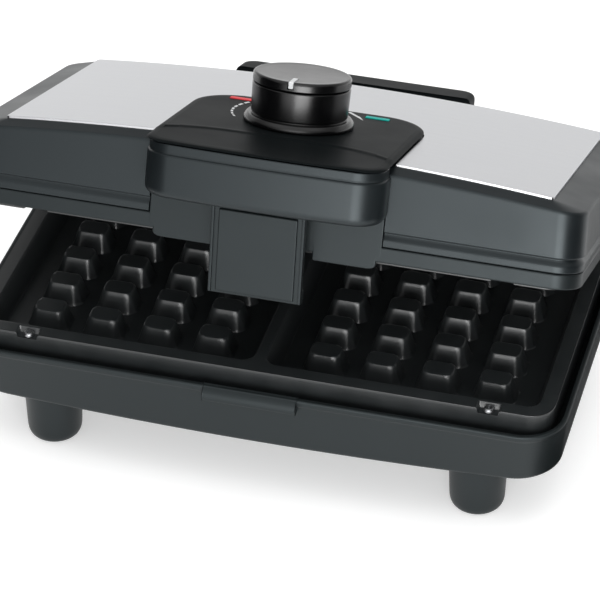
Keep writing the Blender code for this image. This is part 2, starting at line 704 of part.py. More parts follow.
def make_plate_fittings(prefix, seat, level):
    """Screws, heater, clamp strip and reflector tray behind one plate."""
    notch_z = PLATE_TOP_Z - NOTCH_HEIGHT + SEAT_GAP / 2
    labels = ("front_left", "rear_left", "front_right", "rear_right")
    for (x, y), label in zip(plate_screw_places(), labels):
        name = prefix + "_plate_screw_" + label
        profile = [(0.0, level(notch_z - PLATE_SCREW_LENGTH)),
                   (PLATE_SCREW_SHANK_RADIUS, level(notch_z - PLATE_SCREW_LENGTH)),
                   (PLATE_SCREW_SHANK_RADIUS, level(notch_z)), (PLATE_SCREW_HEAD_RADIUS, level(notch_z)),
                   (PLATE_SCREW_HEAD_RADIUS, level(notch_z + PLATE_SCREW_HEAD)),
                   (0.0, level(notch_z + PLATE_SCREW_HEAD))]
        add(name, lathe(name, profile, (x, y, 0.0), SMALL_SIDES), seat, STEEL)
    heater_z = PLATE_FOOT_Z - SEAT_GAP - HEATER_RADIUS
    path = heater_path()
    wire(prefix + "_heater", [(x, y, level(heater_z)) for x, y in path], HEATER_RADIUS, seat, STEEL, 2)
    clamp_top = heater_z - HEATER_RADIUS - SEAT_GAP
    low, high = sorted((level(clamp_top - CLAMP_SHEET), level(clamp_top)))
    name = prefix + "_heater_clamp"
    length = TRAY_HALF_WIDTH - CLAMP_INSET
    middle = (PLATE_FRONT + PLATE_BACK) / 2
    add(name, block(name, (-length, middle - CLAMP_WIDTH / 2, low),
                    (length, middle + CLAMP_WIDTH / 2, high)), seat, STEEL)
    tray_z = PLATE_FOOT_Z - TRAY_DROP

    def edge(inset, z):
        return ring(outline(TRAY_HALF_WIDTH - inset, TRAY_FRONT + inset, TRAY_BACK - inset,
                            TRAY_CORNER_RADIUS, TRAY_CORNER_RADIUS, (0.0,)), level(z))
    rings = [edge(TRAY_RIM, tray_z), edge(0.0, tray_z + TRAY_RIM),
             edge(TRAY_SHEET, tray_z + TRAY_RIM), edge(TRAY_RIM + TRAY_SHEET / 2, tray_z + TRAY_SHEET)]
    name = prefix + "_reflector"
    add(name, loft(name, rings), seat, STEEL)


def heater_path():
    """One run of tube round under both wells, its two ends turned to the back."""
    right = [(HEATER_END_X, HEATER_END_BACK), (HEATER_END_X, HEATER_BACK), (HEATER_HALF_WIDTH, HEATER_BACK),
             (HEATER_HALF_WIDTH, HEATER_FRONT)]
    corners = right + [(-x, y) for x, y in reversed(right)]
    path = [corners[0]]
    for before, corner, after in zip(corners, corners[1:], corners[2:]):
        small = corner[0] in (HEATER_END_X, -HEATER_END_X)
        reach = HEATER_END_BEND if small else HEATER_BEND
        ends = []
        for other in (before, after):
            length = math.dist(corner, other)
            ends.append([c + (o - c) * reach / length for c, o in zip(corner, other)])
        for k in range(CORNER_STEPS + 1):
            share = k / CORNER_STEPS
            path.append([a * (1 - share) ** 2 + 2 * c * share * (1 - share) + b * share ** 2
                         for a, c, b in zip(ends[0], corner, ends[1])])
    path.append(corners[-1])
    return path


def make_feet():
    x = HALF_WIDTH - FOOT_INSET_X
    front, rear = BODY_FRONT + FRONT_FOOT_INSET, BODY_BACK - REAR_FOOT_INSET
    places = {"front_left": (-x, front), "front_right": (x, front),
              "rear_left": (-x, rear), "rear_right": (x, rear)}
    seat_radius = PAD_RADIUS + SEAT_GAP
    seat_z = PAD_HEIGHT + SEAT_GAP
    flat_radius = FOOT_LOW_RADIUS - FOOT_EDGE_ROUND
    turns = [math.pi / 2 * k / 4 for k in range(5)]
    edge = [(flat_radius + FOOT_EDGE_ROUND * math.sin(turn),
             FOOT_LIFT + FOOT_EDGE_ROUND * (1 - math.cos(turn))) for turn in turns]
    top = TUB_CLEARANCE - SEAT_GAP
    profile = [(0.0, seat_z), (seat_radius, seat_z), (seat_radius, FOOT_LIFT)] + edge
    profile += [(FOOT_TOP_RADIUS, top), (0.0, top)]
    pad = [(0.0, 0.0), (PAD_RADIUS, 0.0), (PAD_RADIUS, PAD_HEIGHT), (0.0, PAD_HEIGHT)]
    for label, (x, y) in places.items():
        add("foot_" + label, lathe("foot_" + label, profile, (x, y, 0.0)), BASE, PLASTIC)
        add("foot_pad_" + label, lathe("foot_pad_" + label, pad, (x, y, 0.0)), BASE, RUBBER)


def make_base_rear():
    """Cable gland, terminal block and the two hinge pins."""
    outside = BODY_BACK + SEAT_GAP
    inside = BODY_BACK - WALL - TUB_DRAFT - SEAT_GAP
    profile = [(GLAND_BORE_RADIUS, inside), (GLAND_NECK_RADIUS, inside), (GLAND_NECK_RADIUS, outside),
               (GLAND_RADIUS, outside), (GLAND_RADIUS, outside + GLAND_FLANGE),
               (GLAND_BORE_RADIUS, outside + GLAND_FLANGE)]
    gland = lathe("cable_gland", profile, (GLAND_X, 0.0, GLAND_Z), ROUND_SIDES, True)
    add("cable_gland", gland, BASE, RUBBER)
    terminal_y = TRAY_BACK + SEAT_GAP
    low = (TERMINAL_X - TERMINAL_LENGTH / 2, terminal_y, TUB_INSIDE_Z + SEAT_GAP)
    high = (TERMINAL_X + TERMINAL_LENGTH / 2, terminal_y + TERMINAL_WIDTH, low[2] + TERMINAL_HEIGHT)
    terminal = add("terminal_block", block("terminal_block", low, high), BASE, CERAMIC)
    pitch = TERMINAL_LENGTH / 3
    middle = terminal_y + TERMINAL_WIDTH / 2
    holes = [((TERMINAL_X + k * pitch, middle, high[2] - TERMINAL_HEIGHT / 2),
              (TERMINAL_X + k * pitch, middle, high[2] + OVERRUN)) for k in (-1, 0, 1)]
    cut(terminal, rods("terminal screw wells", holes, TERMINAL_WIDTH / 6, SMALL_SIDES))
    for side, label in ((-1, "left"), (1, "right")):
        name = "hinge_pin_" + label
        end = LUG_INNER_X + LUG_WIDTH + RUN_GAP + ARM_WIDTH
        add(name, rods(name, [((side * LUG_INNER_X, HINGE_Y, HINGE_Z), (side * end, HINGE_Y, HINGE_Z))],
                       HINGE_PIN_RADIUS, SMALL_SIDES), BASE, STEEL)


def make_lid_frame():
    """Lower rim of the lid, with a raised panel behind the grip and an ear on each side of the latch."""
    def edge(inset, z):
        return ring(outline(HALF_WIDTH - inset, LID_FACE_Y + inset, BODY_BACK - inset,
                            LID_CORNER_RADIUS - inset, LID_CORNER_RADIUS - inset, BOW_SHARES), z)
    top = LID_RIM_Z + FRAME_HEIGHT
    rings = [edge(0.0, LID_RIM_Z), edge(0.0, top), edge(WALL, top), edge(WALL, LID_RIM_Z)]
    frame = add("lid_frame", loft("lid_frame", rings, True), LID, PLASTIC)
    width = DOOR_HALF_WIDTH - SEAT_GAP
    fuse(frame, block("lid frame panel", (-width, LID_FACE_Y, LID_RIM_Z + FRAME_HEIGHT / 2),
                      (width, LID_FACE_Y + WALL, PANEL_TOP_Z)))
    foot = LID_RIM_Z - EAR_DROP
    middle = LID_RIM_Z + FRAME_HEIGHT / 2
    for side, label in ((-1, "left"), (1, "right")):
        flat = [(EAR_INNER_X, foot)] + arc((EAR_OUTER_X - EAR_ROUND, foot + EAR_ROUND), EAR_ROUND, -90, 0, 4)
        flat += [(EAR_OUTER_X, middle), (EAR_INNER_X, middle)]
        bm = bmesh.new()
        near = [bm.verts.new((side * x, LID_FACE_Y, z)) for x, z in flat]
        far = [bm.verts.new((side * x, LID_FACE_Y + WALL, z)) for x, z in flat]
        bm.faces.new(near)
        bm.faces.new(far)
        for k in range(len(flat)):
            n = (k + 1) % len(flat)
            bm.faces.new((near[k], near[n], far[n], far[k]))
        fuse(frame, from_bmesh("lid ear " + label, bm))


def make_lid_shell():
    """Lid shell: lip, groove and face below a sloped band, a crowned top, posts, bosses and openings."""
    def edge(inset, z, lean=0.0, drop=0.0):
        return ring(outline(HALF_WIDTH - inset - lean, LID_FACE_Y + inset + lean, BODY_BACK - inset - lean,
                            LID_CORNER_RADIUS - inset, LID_CORNER_RADIUS - inset, CROWN_SHARES), z, drop)

    def crown(inset, z):
        return ring(outline(HALF_WIDTH - CROWN_INSET_X - inset, LID_FACE_Y + CROWN_INSET_Y + inset,
                            BODY_BACK - CROWN_INSET_Y - inset, CROWN_RADIUS, CROWN_RADIUS, CROWN_SHARES),
                    z, CROWN_DROP)
    lip = SHELL_FOOT_Z + LIP_HEIGHT
    groove = lip + GROOVE_HEIGHT
    face_drop = CROWN_DROP
    rings = [
        crown(0.0, CROWN_TOP_Z), edge(0.0, FACE_TOP_Z, FACE_LEAN, face_drop), edge(0.0, groove),
        edge(GROOVE_DEPTH, groove - GROOVE_DEPTH / 2), edge(GROOVE_DEPTH, lip + GROOVE_DEPTH / 2),
        edge(0.0, lip), edge(0.0, SHELL_FOOT_Z), edge(WALL, SHELL_FOOT_Z),
        edge(WALL + GROOVE_DEPTH, lip), edge(WALL + GROOVE_DEPTH, groove),
        edge(WALL, FACE_TOP_Z - SHELL_TOP, FACE_LEAN, face_drop),
        crown(SHELL_TOP, CEILING_Z),
    ]
    shell = add("lid_shell", loft("lid_shell", rings), LID, GREY_PLASTIC)
    cut(shell, block("shell door", (-DOOR_HALF_WIDTH, LID_FACE_Y - OVERRUN, SHELL_FOOT_Z - OVERRUN),
                     (DOOR_HALF_WIDTH, LID_FACE_Y + WALL + GROOVE_DEPTH + SEAT_GAP, PANEL_TOP_Z + SEAT_GAP)))
    hole_x = lens_reach() + WELLHOLE_MARGIN
    hole_back = LENS_Y + LENS_WIDTH / 2 + LENS_FLANGE + WELLHOLE_MARGIN
    cut(shell, block("shell well hole", (-hole_x, KNOB_Y - WELLHOLE_FRONT_REACH, CEILING_Z - SHELL_TOP),
                     (hole_x, hole_back, CROWN_TOP_Z + OVERRUN)))

    def crowned(z, x):
        return z - CROWN_DROP * (x / HALF_WIDTH) ** 2

    def ceiling(x):
        return crowned(CEILING_Z, x) + SHELL_TOP / 2
    bosses = [((x, y, upper(PLATE_FOOT_Z) + SEAT_GAP), (x, y, crowned(FACE_TOP_Z, x)))
              for x, y in plate_screw_places()]
    fuse(shell, rods("shell bosses", bosses, BOSS_RADIUS, SMALL_SIDES))
    cut(shell, rods("shell screw bores", [((x, y, upper(PLATE_FOOT_Z) - OVERRUN),
                                           (x, y, upper(PLATE_FOOT_Z) + PLATE_SCREW_LENGTH / 2))
                                          for x, y in plate_screw_places()],
                    PLATE_SCREW_SHANK_RADIUS + SEAT_GAP, SMALL_SIDES))
    posts = [((x, y, upper(PLATE_FOOT_Z - TRAY_DROP) + SEAT_GAP), (x, y, ceiling(x)))
             for x, y in tray_post_places()]
    fuse(shell, rods("shell tray posts", posts, TRAY_POST_RADIUS, SMALL_SIDES))
    post_x = hole_x + BOARD_POST_MARGIN + BOARD_POST_RADIUS
    post_front = KNOB_Y - BOARD_FRONT_REACH + BOARD_POST_INSET_Y
    post_back = DECK_BACK - BOARD_BACK_INSET - BOARD_POST_INSET_Y
    board = [((side * post_x, y, BOARD_TOP_Z + SEAT_GAP), (side * post_x, y, ceiling(post_x)))
             for side in (-1, 1) for y in (post_front, post_back)]
    fuse(shell, rods("shell board posts", board, BOARD_POST_RADIUS, SMALL_SIDES))


def board_half_width():
    return CONSOLE_HALF_WIDTH - BOARD_SIDE_INSET


def lens_reach():
    """Farthest reach of a lens's flange from the middle."""
    return abs(LENS_CENTRE_X) + LENS_OFFSET_X + LENS_LENGTH / 2 + LENS_FLANGE


def make_steel():
    """Crowned steel cover with a cut-out that follows the console's deck."""
    def edge(z):
        return ring(outline(HALF_WIDTH - STEEL_INSET_X, LID_FACE_Y + STEEL_INSET_FRONT,
                            BODY_BACK - STEEL_INSET_BACK, STEEL_CORNER_RADIUS, STEEL_CORNER_RADIUS,
                            CROWN_SHARES), z, CROWN_DROP)
    foot = CROWN_TOP_Z + SEAT_GAP
    steel = add("steel_cover", loft("steel_cover", [edge(foot), edge(foot + STEEL_THICKNESS)]), LID, STEEL)
    flat = outline(CONSOLE_HALF_WIDTH + SEAT_GAP, DECK_FRONT, DECK_BACK + SEAT_GAP, DECK_FRONT_RADIUS,
                   DECK_REAR_RADIUS + SEAT_GAP, (0.0,))
    low = FACE_TOP_Z - CROWN_DROP
    cut(steel, loft("steel console cut", [ring(flat, low), ring(flat, DECK_TOP_Z + OVERRUN)]))


def make_grip():
    """Grip housing at the front of the console, with the latch's pocket open below."""
    def edge(inset, z, arch=0.0):
        return ring(outline(CONSOLE_HALF_WIDTH - inset, GRIP_FRONT + inset, GRIP_BACK, GRIP_CORNER_RADIUS,
                            GRIP_BACK_RADIUS, CROWN_SHARES), z, -arch, CONSOLE_HALF_WIDTH)
    line = GRIP_TOP_Z - GRIP_LINE_DROP
    rings = []
    for k in range(CORNER_STEPS):
        turn = math.pi / 2 * k / (CORNER_STEPS - 1)
        rings.append(edge(GRIP_FOOT_ROUND * (1 - math.sin(turn)),
                          GRIP_FOOT_Z + GRIP_FOOT_ROUND * (1 - math.cos(turn)), GRIP_FOOT_ARCH))
    rings += [edge(0.0, line), edge(GRIP_LINE_DEPTH, line + GRIP_LINE_WIDTH / 2),
              edge(GRIP_BAND_INSET, line + GRIP_LINE_WIDTH), edge(GRIP_BAND_INSET, GRIP_TOP_Z)]
    grip = add("console_grip", loft("console_grip", rings), LID, GREY_PLASTIC)
    pocket = LATCH_HALF_WIDTH + RUN_GAP
    cut(grip, block("grip pocket", (-pocket, GRIP_FRONT + POCKET_FRONT_WALL, GRIP_FOOT_Z - OVERRUN),
                    (pocket, GRIP_BACK - POCKET_BACK_WALL, GRIP_TOP_Z - POCKET_ROOF)))
    pin = pocket + PIN_SEAT + SEAT_GAP
    cut(grip, rods("grip pin bores", [((-pin, LATCH_PIVOT_Y, LATCH_PIVOT_Z),
                                       (pin, LATCH_PIVOT_Y, LATCH_PIVOT_Z))],
                   PIN_RADIUS + SEAT_GAP, SMALL_SIDES))


def make_deck():
    """Console deck with the shaft's bore and two lens windows."""
    def edge(inset, z):
        return ring(outline(CONSOLE_HALF_WIDTH - inset, DECK_FRONT + inset, DECK_BACK - inset,
                            DECK_FRONT_RADIUS, DECK_REAR_RADIUS, (0.0,)), z)
    rings = [edge(0.0, DECK_FOOT_Z)]
    rings += [edge(DECK_BEVEL * a, DECK_TOP_Z - DECK_BEVEL_DROP * b) for a, b in DECK_BEVEL_SHARES]
    deck = add("console_deck", loft("console_deck", rings), LID, SATIN)
    cut(deck, rods("deck shaft bore", [((0.0, KNOB_Y, DECK_FOOT_Z - OVERRUN),
                                        (0.0, KNOB_Y, DECK_TOP_Z + OVERRUN))],
                   SHAFT_RADIUS + RUN_GAP, SMALL_SIDES))
    long, wide = LENS_LENGTH / 2 + SEAT_GAP, LENS_WIDTH / 2 + SEAT_GAP
    cut(deck, blocks("deck lens windows", [((lens_x(side) - long, LENS_Y - wide, DECK_FOOT_Z - OVERRUN),
                                            (lens_x(side) + long, LENS_Y + wide, DECK_TOP_Z + OVERRUN))
                                           for side in (-1, 1)]))


def lens_x(side):
    return LENS_CENTRE_X + side * LENS_OFFSET_X


def make_controls():
    """Lenses, lamps, control board, thermostat and thermal fuse."""
    flange_top = DECK_FOOT_Z - SEAT_GAP
    flange_foot = flange_top - LENS_FLANGE_HEIGHT
    for side, label, finish in ((-1, "red", RED), (1, "green", GREEN)):
        x = lens_x(side)
        long, wide = LENS_LENGTH / 2, LENS_WIDTH / 2
        name = "lens_" + label
        lens = add(name, block(name, (x - long, LENS_Y - wide, flange_foot + LENS_FLANGE_HEIGHT / 2),
                               (x + long, LENS_Y + wide, DECK_TOP_Z + LENS_RISE)), LID, finish)
        long, wide = long + LENS_FLANGE, wide + LENS_FLANGE
        fuse(lens, block(name + " flange", (x - long, LENS_Y - wide, flange_foot),
                         (x + long, LENS_Y + wide, flange_top)))
        name = "lamp_" + label
        profile = [(0.0, BOARD_TOP_Z + SEAT_GAP), (LAMP_RADIUS, BOARD_TOP_Z + SEAT_GAP),
                   (LAMP_RADIUS, flange_foot - SEAT_GAP - LAMP_RADIUS / 2),
                   (LAMP_RADIUS / 2, flange_foot - SEAT_GAP), (0.0, flange_foot - SEAT_GAP)]
        add(name, lathe(name, profile, (x, LENS_Y - LAMP_RADIUS / 2, 0.0), SMALL_SIDES), LID, finish)
    low = (-board_half_width(), KNOB_Y - BOARD_FRONT_REACH, BOARD_TOP_Z - BOARD_SHEET)
    high = (board_half_width(), DECK_BACK - BOARD_BACK_INSET, BOARD_TOP_Z)
    board = add("control_board", block("control_board", low, high), LID, CERAMIC)
    cut(board, rods("board shaft hole", [((0.0, KNOB_Y, BOARD_TOP_Z - BOARD_SHEET - OVERRUN),
                                          (0.0, KNOB_Y, BOARD_TOP_Z + OVERRUN))],
                    SHAFT_RADIUS + RUN_GAP, SMALL_SIDES))
    tray_top = upper(PLATE_FOOT_Z - TRAY_DROP)
    long, wide = THERMOSTAT_LENGTH / 2, THERMOSTAT_WIDTH / 2
    top = BOARD_TOP_Z - BOARD_SHEET - SEAT_GAP
    add("thermostat", block("thermostat", (-long, KNOB_Y - wide, tray_top + SEAT_GAP),
                            (long, KNOB_Y + wide, top)), LID, CERAMIC)
    fuse_z = tray_top + SEAT_GAP + FUSE_RADIUS
    fuse_y = KNOB_Y + FUSE_OFFSET_Y
    add("thermal_fuse", rods("thermal_fuse", [((-FUSE_OFFSET_X - FUSE_LENGTH / 2, fuse_y, fuse_z),
                                               (-FUSE_OFFSET_X + FUSE_LENGTH / 2, fuse_y, fuse_z))],
                             FUSE_RADIUS, SMALL_SIDES), LID, CERAMIC)


def make_knob():
    """Knob with a skirt, its cap with a pointer, and the shaft that it sits on."""
    foot = DECK_TOP_Z + SEAT_GAP
    skirt = foot + KNOB_SKIRT_HEIGHT
    top = foot + KNOB_HEIGHT
    shaft_top = foot + SHAFT_REACH
    bore = SHAFT_RADIUS + SEAT_GAP
    step = KNOB_SKIRT_RADIUS - KNOB_FOOT_RADIUS
    profile = [(bore, foot), (KNOB_SKIRT_RADIUS, foot), (KNOB_SKIRT_RADIUS, foot + KNOB_SKIRT_HEIGHT / 2),
               (KNOB_SKIRT_RADIUS - step / 3, skirt), (KNOB_FOOT_RADIUS, skirt), (KNOB_TOP_RADIUS, top),
               (0.0, top), (0.0, shaft_top + SEAT_GAP), (bore, shaft_top + SEAT_GAP)]
    add("knob", knob_mesh(profile), KNOB, PLASTIC)
    cap_foot = top + SEAT_GAP
    cap_top = cap_foot + KNOB_CAP_HEIGHT
    profile = [(0.0, cap_foot), (KNOB_TOP_RADIUS, cap_foot), (KNOB_TOP_RADIUS, cap_top - KNOB_CAP_ROUND),
               (KNOB_TOP_RADIUS - KNOB_CAP_ROUND, cap_top), (0.0, cap_top)]
    cap = add("knob_cap", lathe("knob_cap", profile, (0.0, KNOB_Y, 0.0), 2 * ROUND_SIDES), KNOB, SATIN)
    front = KNOB_Y - KNOB_TOP_RADIUS
    slot = POINTER_WIDTH / 2 + SEAT_GAP
    depth = cap_foot + KNOB_CAP_HEIGHT / 4
    cut(cap, block("cap pointer slot", (-slot, front - OVERRUN, depth),
                   (slot, front + POINTER_LENGTH + SEAT_GAP, cap_top + OVERRUN)))
    low = (-POINTER_WIDTH / 2, front + SEAT_GAP, depth + SEAT_GAP)
    high = (POINTER_WIDTH / 2, front + POINTER_LENGTH, cap_top + POINTER_RISE)
    add("knob_pointer", block("knob_pointer", low, high), KNOB, WHITE)
    shaft_foot = BOARD_TOP_Z - BOARD_SHEET
    add("thermostat_shaft", rods("thermostat_shaft", [((0.0, KNOB_Y, shaft_foot), (0.0, KNOB_Y, shaft_top))],
                                 SHAFT_RADIUS, SMALL_SIDES), KNOB, STEEL)


def knob_mesh(profile):
    """Knob body whose bore ends blind under the top."""
    bm = bmesh.new()
    sides = 2 * ROUND_SIDES
    turns = [2 * math.pi * k / sides for k in range(sides)]
    rows = []
    for radius, height in profile:
        count = sides if radius else 1
        rows.append([bm.verts.new((radius * math.cos(turn), KNOB_Y + radius * math.sin(turn), height))
                     for turn in turns[:count]])
    for low, high in list(zip(rows, rows[1:])) + [(rows[-1], rows[0])]:
        if len(low) == 1 and len(high) == 1:
            continue
        for k in range(sides):
            n = (k + 1) % sides
            corners = [low[k % len(low)], low[n % len(low)], high[n % len(high)], high[k % len(high)]]
            bm.faces.new(list(dict.fromkeys(corners)))
    return from_bmesh("knob", bm)


def make_latch():
    """Latch plate with a raised face, a hook at its foot and a barrel in two lengths round its pin."""
    top_y = LATCH_PIVOT_Y - LATCH_TOP_INSET
    foot_z = LID_RIM_Z - LATCH_DROP
    tip_y = BODY_FRONT - CATCH_REACH + HOOK_CATCH
    foot_y = top_y + LATCH_SLOPE
    hook_z = catch_foot() - RUN_GAP

    def face(z, depth=0.0):
        return (top_y + LATCH_SLOPE * (LATCH_PIVOT_Z - z) / (LATCH_PIVOT_Z - foot_z) + depth, z)
    profile = [face(LATCH_PIVOT_Z), face(foot_z), (foot_y + LATCH_THICKNESS, foot_z),
               (tip_y, foot_z + HOOK_LEAD), (tip_y, hook_z),
               face(hook_z, LATCH_THICKNESS), face(LATCH_PIVOT_Z, LATCH_THICKNESS)]
    width = LATCH_HALF_WIDTH
    latch = add("latch", prism("latch", profile, -width, width), LATCH, PLASTIC)
    head_top = GRIP_FOOT_Z - LATCH_HEAD_RISE
    head_foot = foot_z + LATCH_HEAD_RISE
    head = [face(head_top, -LATCH_HEAD_RISE), face(head_foot, -LATCH_HEAD_RISE),
            face(head_foot, LATCH_THICKNESS / 2), face(head_top, LATCH_THICKNESS / 2)]
    head_width = width - LATCH_HEAD_INSET
    fuse(latch, prism("latch raised face", head, -head_width, head_width))
    fuse(latch, rods("latch barrel", [((-width, LATCH_PIVOT_Y, LATCH_PIVOT_Z),
                                       (width, LATCH_PIVOT_Y, LATCH_PIVOT_Z))],
                     LATCH_BARREL_RADIUS, SMALL_SIDES))
    bay = SPRING_BAY_HALF_WIDTH
    reach = SPRING_RADIUS + SPRING_WIRE_RADIUS + SPRING_LEG
    bay_rise = LATCH_BARREL_RADIUS + OVERRUN
    cut(latch, block("latch spring bay",
                     (-bay, LATCH_PIVOT_Y - LATCH_TOP_INSET - OVERRUN, LATCH_PIVOT_Z - bay_rise),
                     (bay, LATCH_PIVOT_Y + reach, LATCH_PIVOT_Z + bay_rise)))
    cut(latch, rods("latch pin bore", [((-width - OVERRUN, LATCH_PIVOT_Y, LATCH_PIVOT_Z),
                                        (width + OVERRUN, LATCH_PIVOT_Y, LATCH_PIVOT_Z))],
                    PIN_RADIUS + SEAT_GAP, SMALL_SIDES))
    pin = width + RUN_GAP + PIN_SEAT
    add("latch_pin", rods("latch_pin", [((-pin, LATCH_PIVOT_Y, LATCH_PIVOT_Z),
                                         (pin, LATCH_PIVOT_Y, LATCH_PIVOT_Z))],
                          PIN_RADIUS, SMALL_SIDES), LID, STEEL)
    make_spring()


def make_spring():
    """Torsion spring wound round the pin: one unbroken wire, with a straight leg at each end."""
    coil = SPRING_TURNS * SPRING_POINTS_PER_TURN
    start = -SPRING_TURNS * SPRING_PITCH / 2
    points = []
    for k in range(coil + 1):
        turn = math.pi / 2 + 2 * math.pi * k / SPRING_POINTS_PER_TURN
        points.append((start + SPRING_PITCH * k / SPRING_POINTS_PER_TURN,
                       LATCH_PIVOT_Y + SPRING_RADIUS * math.cos(turn),
                       LATCH_PIVOT_Z + SPRING_RADIUS * math.sin(turn)))
    first, last = points[0], points[-1]
    up = (first[0], first[1] + SPRING_LEG, first[2] + SPRING_LEG_RISE)
    down = (last[0], last[1] + SPRING_LEG, last[2])
    points = [up] + points + [down]
    gap = SPRING_PITCH - 2 * SPRING_WIRE_RADIUS
    print("latch spring: least gap between turns %.2f mm" % (gap * 1000))
    wire("latch_spring", points, SPRING_WIRE_RADIUS, LID, STEEL)


def make_hinge_bar():
    """Bar behind the steel cover, with an arm at each end that turns on its hinge pin."""
    front = BODY_BACK + SEAT_GAP
    foot = LID_RIM_Z + BAR_FOOT_RISE
    top = CROWN_TOP_Z + BAR_TOP_RISE
    back = front + BAR_DEPTH
    half = LUG_INNER_X + LUG_WIDTH + RUN_GAP + ARM_WIDTH

    def edge(inset, z):
        return ring(outline(half - inset, front, back - inset, BAR_FRONT_RADIUS, BAR_CORNER_RADIUS - inset,
                            (0.0,)), z)
    turns = [math.pi / 2 * k / 3 for k in range(4)]
    steps = [(BAR_ROUND * (1 - math.sin(turn)), BAR_ROUND * (1 - math.cos(turn))) for turn in turns]
    rings = [edge(inset, foot + rise) for inset, rise in steps]
    rings += [edge(inset, top - rise) for inset, rise in reversed(steps)]
    bar = add("hinge_bar", loft("hinge_bar", rings), LID, PLASTIC)
    arm_front = HINGE_Y - ARM_DEPTH / 2
    arm_back = HINGE_Y + ARM_DEPTH / 2
    middle = foot + 2 * BAR_ROUND
    arm = [(arm_back, middle), (arm_front, middle)] + arc((HINGE_Y, HINGE_Z), KNUCKLE_RADIUS, 180, 360, 8)
    for side, label in ((-1, "left"), (1, "right")):
        ends = sorted((side * half, side * (half - ARM_WIDTH)))
        fuse(bar, prism("hinge arm " + label, arm, *ends))
    bore = half + OVERRUN
    cut(bar, rods("hinge arm bores", [((-bore, HINGE_Y, HINGE_Z), (bore, HINGE_Y, HINGE_Z))],
                  HINGE_PIN_RADIUS + SEAT_GAP, SMALL_SIDES))


clear_scene()
PARTS = make_collection("parts")
TOOLS = make_collection("tools")
BASE = Seat("base_seat", (0.0, 0.0, 0.0))
LID = Seat("lid_hinge", (0.0, HINGE_Y, HINGE_Z), BASE, -math.radians(OPEN_DEGREES))
KNOB = Seat("knob_axis", (0.0, KNOB_Y, DECK_TOP_Z), LID)
LATCH = Seat("latch_axis", (0.0, LATCH_PIVOT_Y, LATCH_PIVOT_Z), LID)
make_tub()
make_feet()
make_plate("lower_plate", BASE, lambda z: z)
make_plate_fittings("lower", BASE, lambda z: z)
make_base_rear()
make_lid_frame()
make_lid_shell()
make_steel()
make_plate("upper_plate", LID, upper)
make_plate_fittings("upper", LID, upper)
make_grip()
make_deck()
make_controls()
make_knob()
make_latch()
make_hinge_bar()
bpy.context.view_layer.update()
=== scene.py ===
"""Looks of a waffle iron with two wells, its lid part open: pieces, finishes, floor, light and camera.

Shapes are worked out with numpy in millimetres, in the closed product's drawn place: X to the right, Y to
the back, Z up, the front wall's foot at Y = 0 and the table at Z = 0. Pieces of the lid, the knob and the
latch are then turned open about the hinge line, as the CAD's are. Profiles are lists of (inset or radius,
height), and the list of reaches beside each says how far every corner's round goes.
"""

import math

import bmesh
import bpy
import numpy as np
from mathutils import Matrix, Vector


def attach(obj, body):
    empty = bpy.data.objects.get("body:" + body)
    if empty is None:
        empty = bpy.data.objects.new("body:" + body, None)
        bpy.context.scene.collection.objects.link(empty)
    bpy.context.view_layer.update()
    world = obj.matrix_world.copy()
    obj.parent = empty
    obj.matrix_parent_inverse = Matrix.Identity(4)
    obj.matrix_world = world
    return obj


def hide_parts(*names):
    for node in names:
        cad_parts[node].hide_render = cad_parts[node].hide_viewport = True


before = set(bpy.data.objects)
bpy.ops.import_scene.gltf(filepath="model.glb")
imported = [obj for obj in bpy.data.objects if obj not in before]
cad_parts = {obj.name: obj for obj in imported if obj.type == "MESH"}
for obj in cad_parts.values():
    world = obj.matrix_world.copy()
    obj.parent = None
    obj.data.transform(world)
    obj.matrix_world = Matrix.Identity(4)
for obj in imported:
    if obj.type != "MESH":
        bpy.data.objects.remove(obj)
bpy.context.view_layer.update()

MM = 0.001

# Distances in metres under which points merge and edges count as nothing; edges that turn more stay sharp
MERGE, NO_LENGTH, SHARP = 2e-6, 1e-7, math.radians(38)

# Rounding of a cutting block's or a printed mark's ends, too small to show
BLOCK_EDGE = 0.01

# Where the drawn product lies in the frame, and how far the lid is open
ORIGIN_Y = 96.0
HINGE_Y, HINGE_Z = 162.0, 34.0
OPEN = math.radians(20.5)

# Body outline
HALF_WIDTH = 137.0
BODY_FRONT, BODY_BACK = 0.5, 151.0
WALL = 2.4

# Base
TUB_FOOT_Z, TUB_RIM_Z = 28.3, 55.7
TUB_DRAFT, TUB_BOW = 2.4, 5.5
TUB_CORNER, TUB_REAR_CORNER = 20.0, 14.0
TUB_FLOOR_Z, TUB_FLOOR_INSET = 30.7, 12.0
VENT_X, VENT_HALF_X, VENT_HALF_Y, VENT_PITCH, VENT_ROUND = 55.0, 17.0, 1.5, 9.0, 1.4
CATCH_HALF = 21.1
CATCH_PROFILE = [(2.9, 53.3), (1.7, 53.3), (1.7, 49.9), (-2.2, 49.9), (-2.2, 51.5), (-1.49, 53.3),
                 (0.45, 55.15), (2.9, 56.0)]
BOSS_RADIUS, BOSS_FOOT_Z, BOSS_TOP_Z = 3.4, 29.5, 46.7
FOOT_X, FOOT_FRONT_Y, FOOT_REAR_Y = 98.0, 21.5, 129.0
FOOT_PROFILE = [(0.0, 2.5), (6.7, 2.5), (6.7, 0.6), (12.15, 0.6), (13.2, 28.0), (0.0, 28.0)]
FOOT_PLACES = {end + "_" + side: (x, y) for end, y in (("front", FOOT_FRONT_Y), ("rear", FOOT_REAR_Y))
               for side, x in (("left", -FOOT_X), ("right", FOOT_X))}
PAD_RADIUS, PAD_TOP_Z = 6.4, 2.2

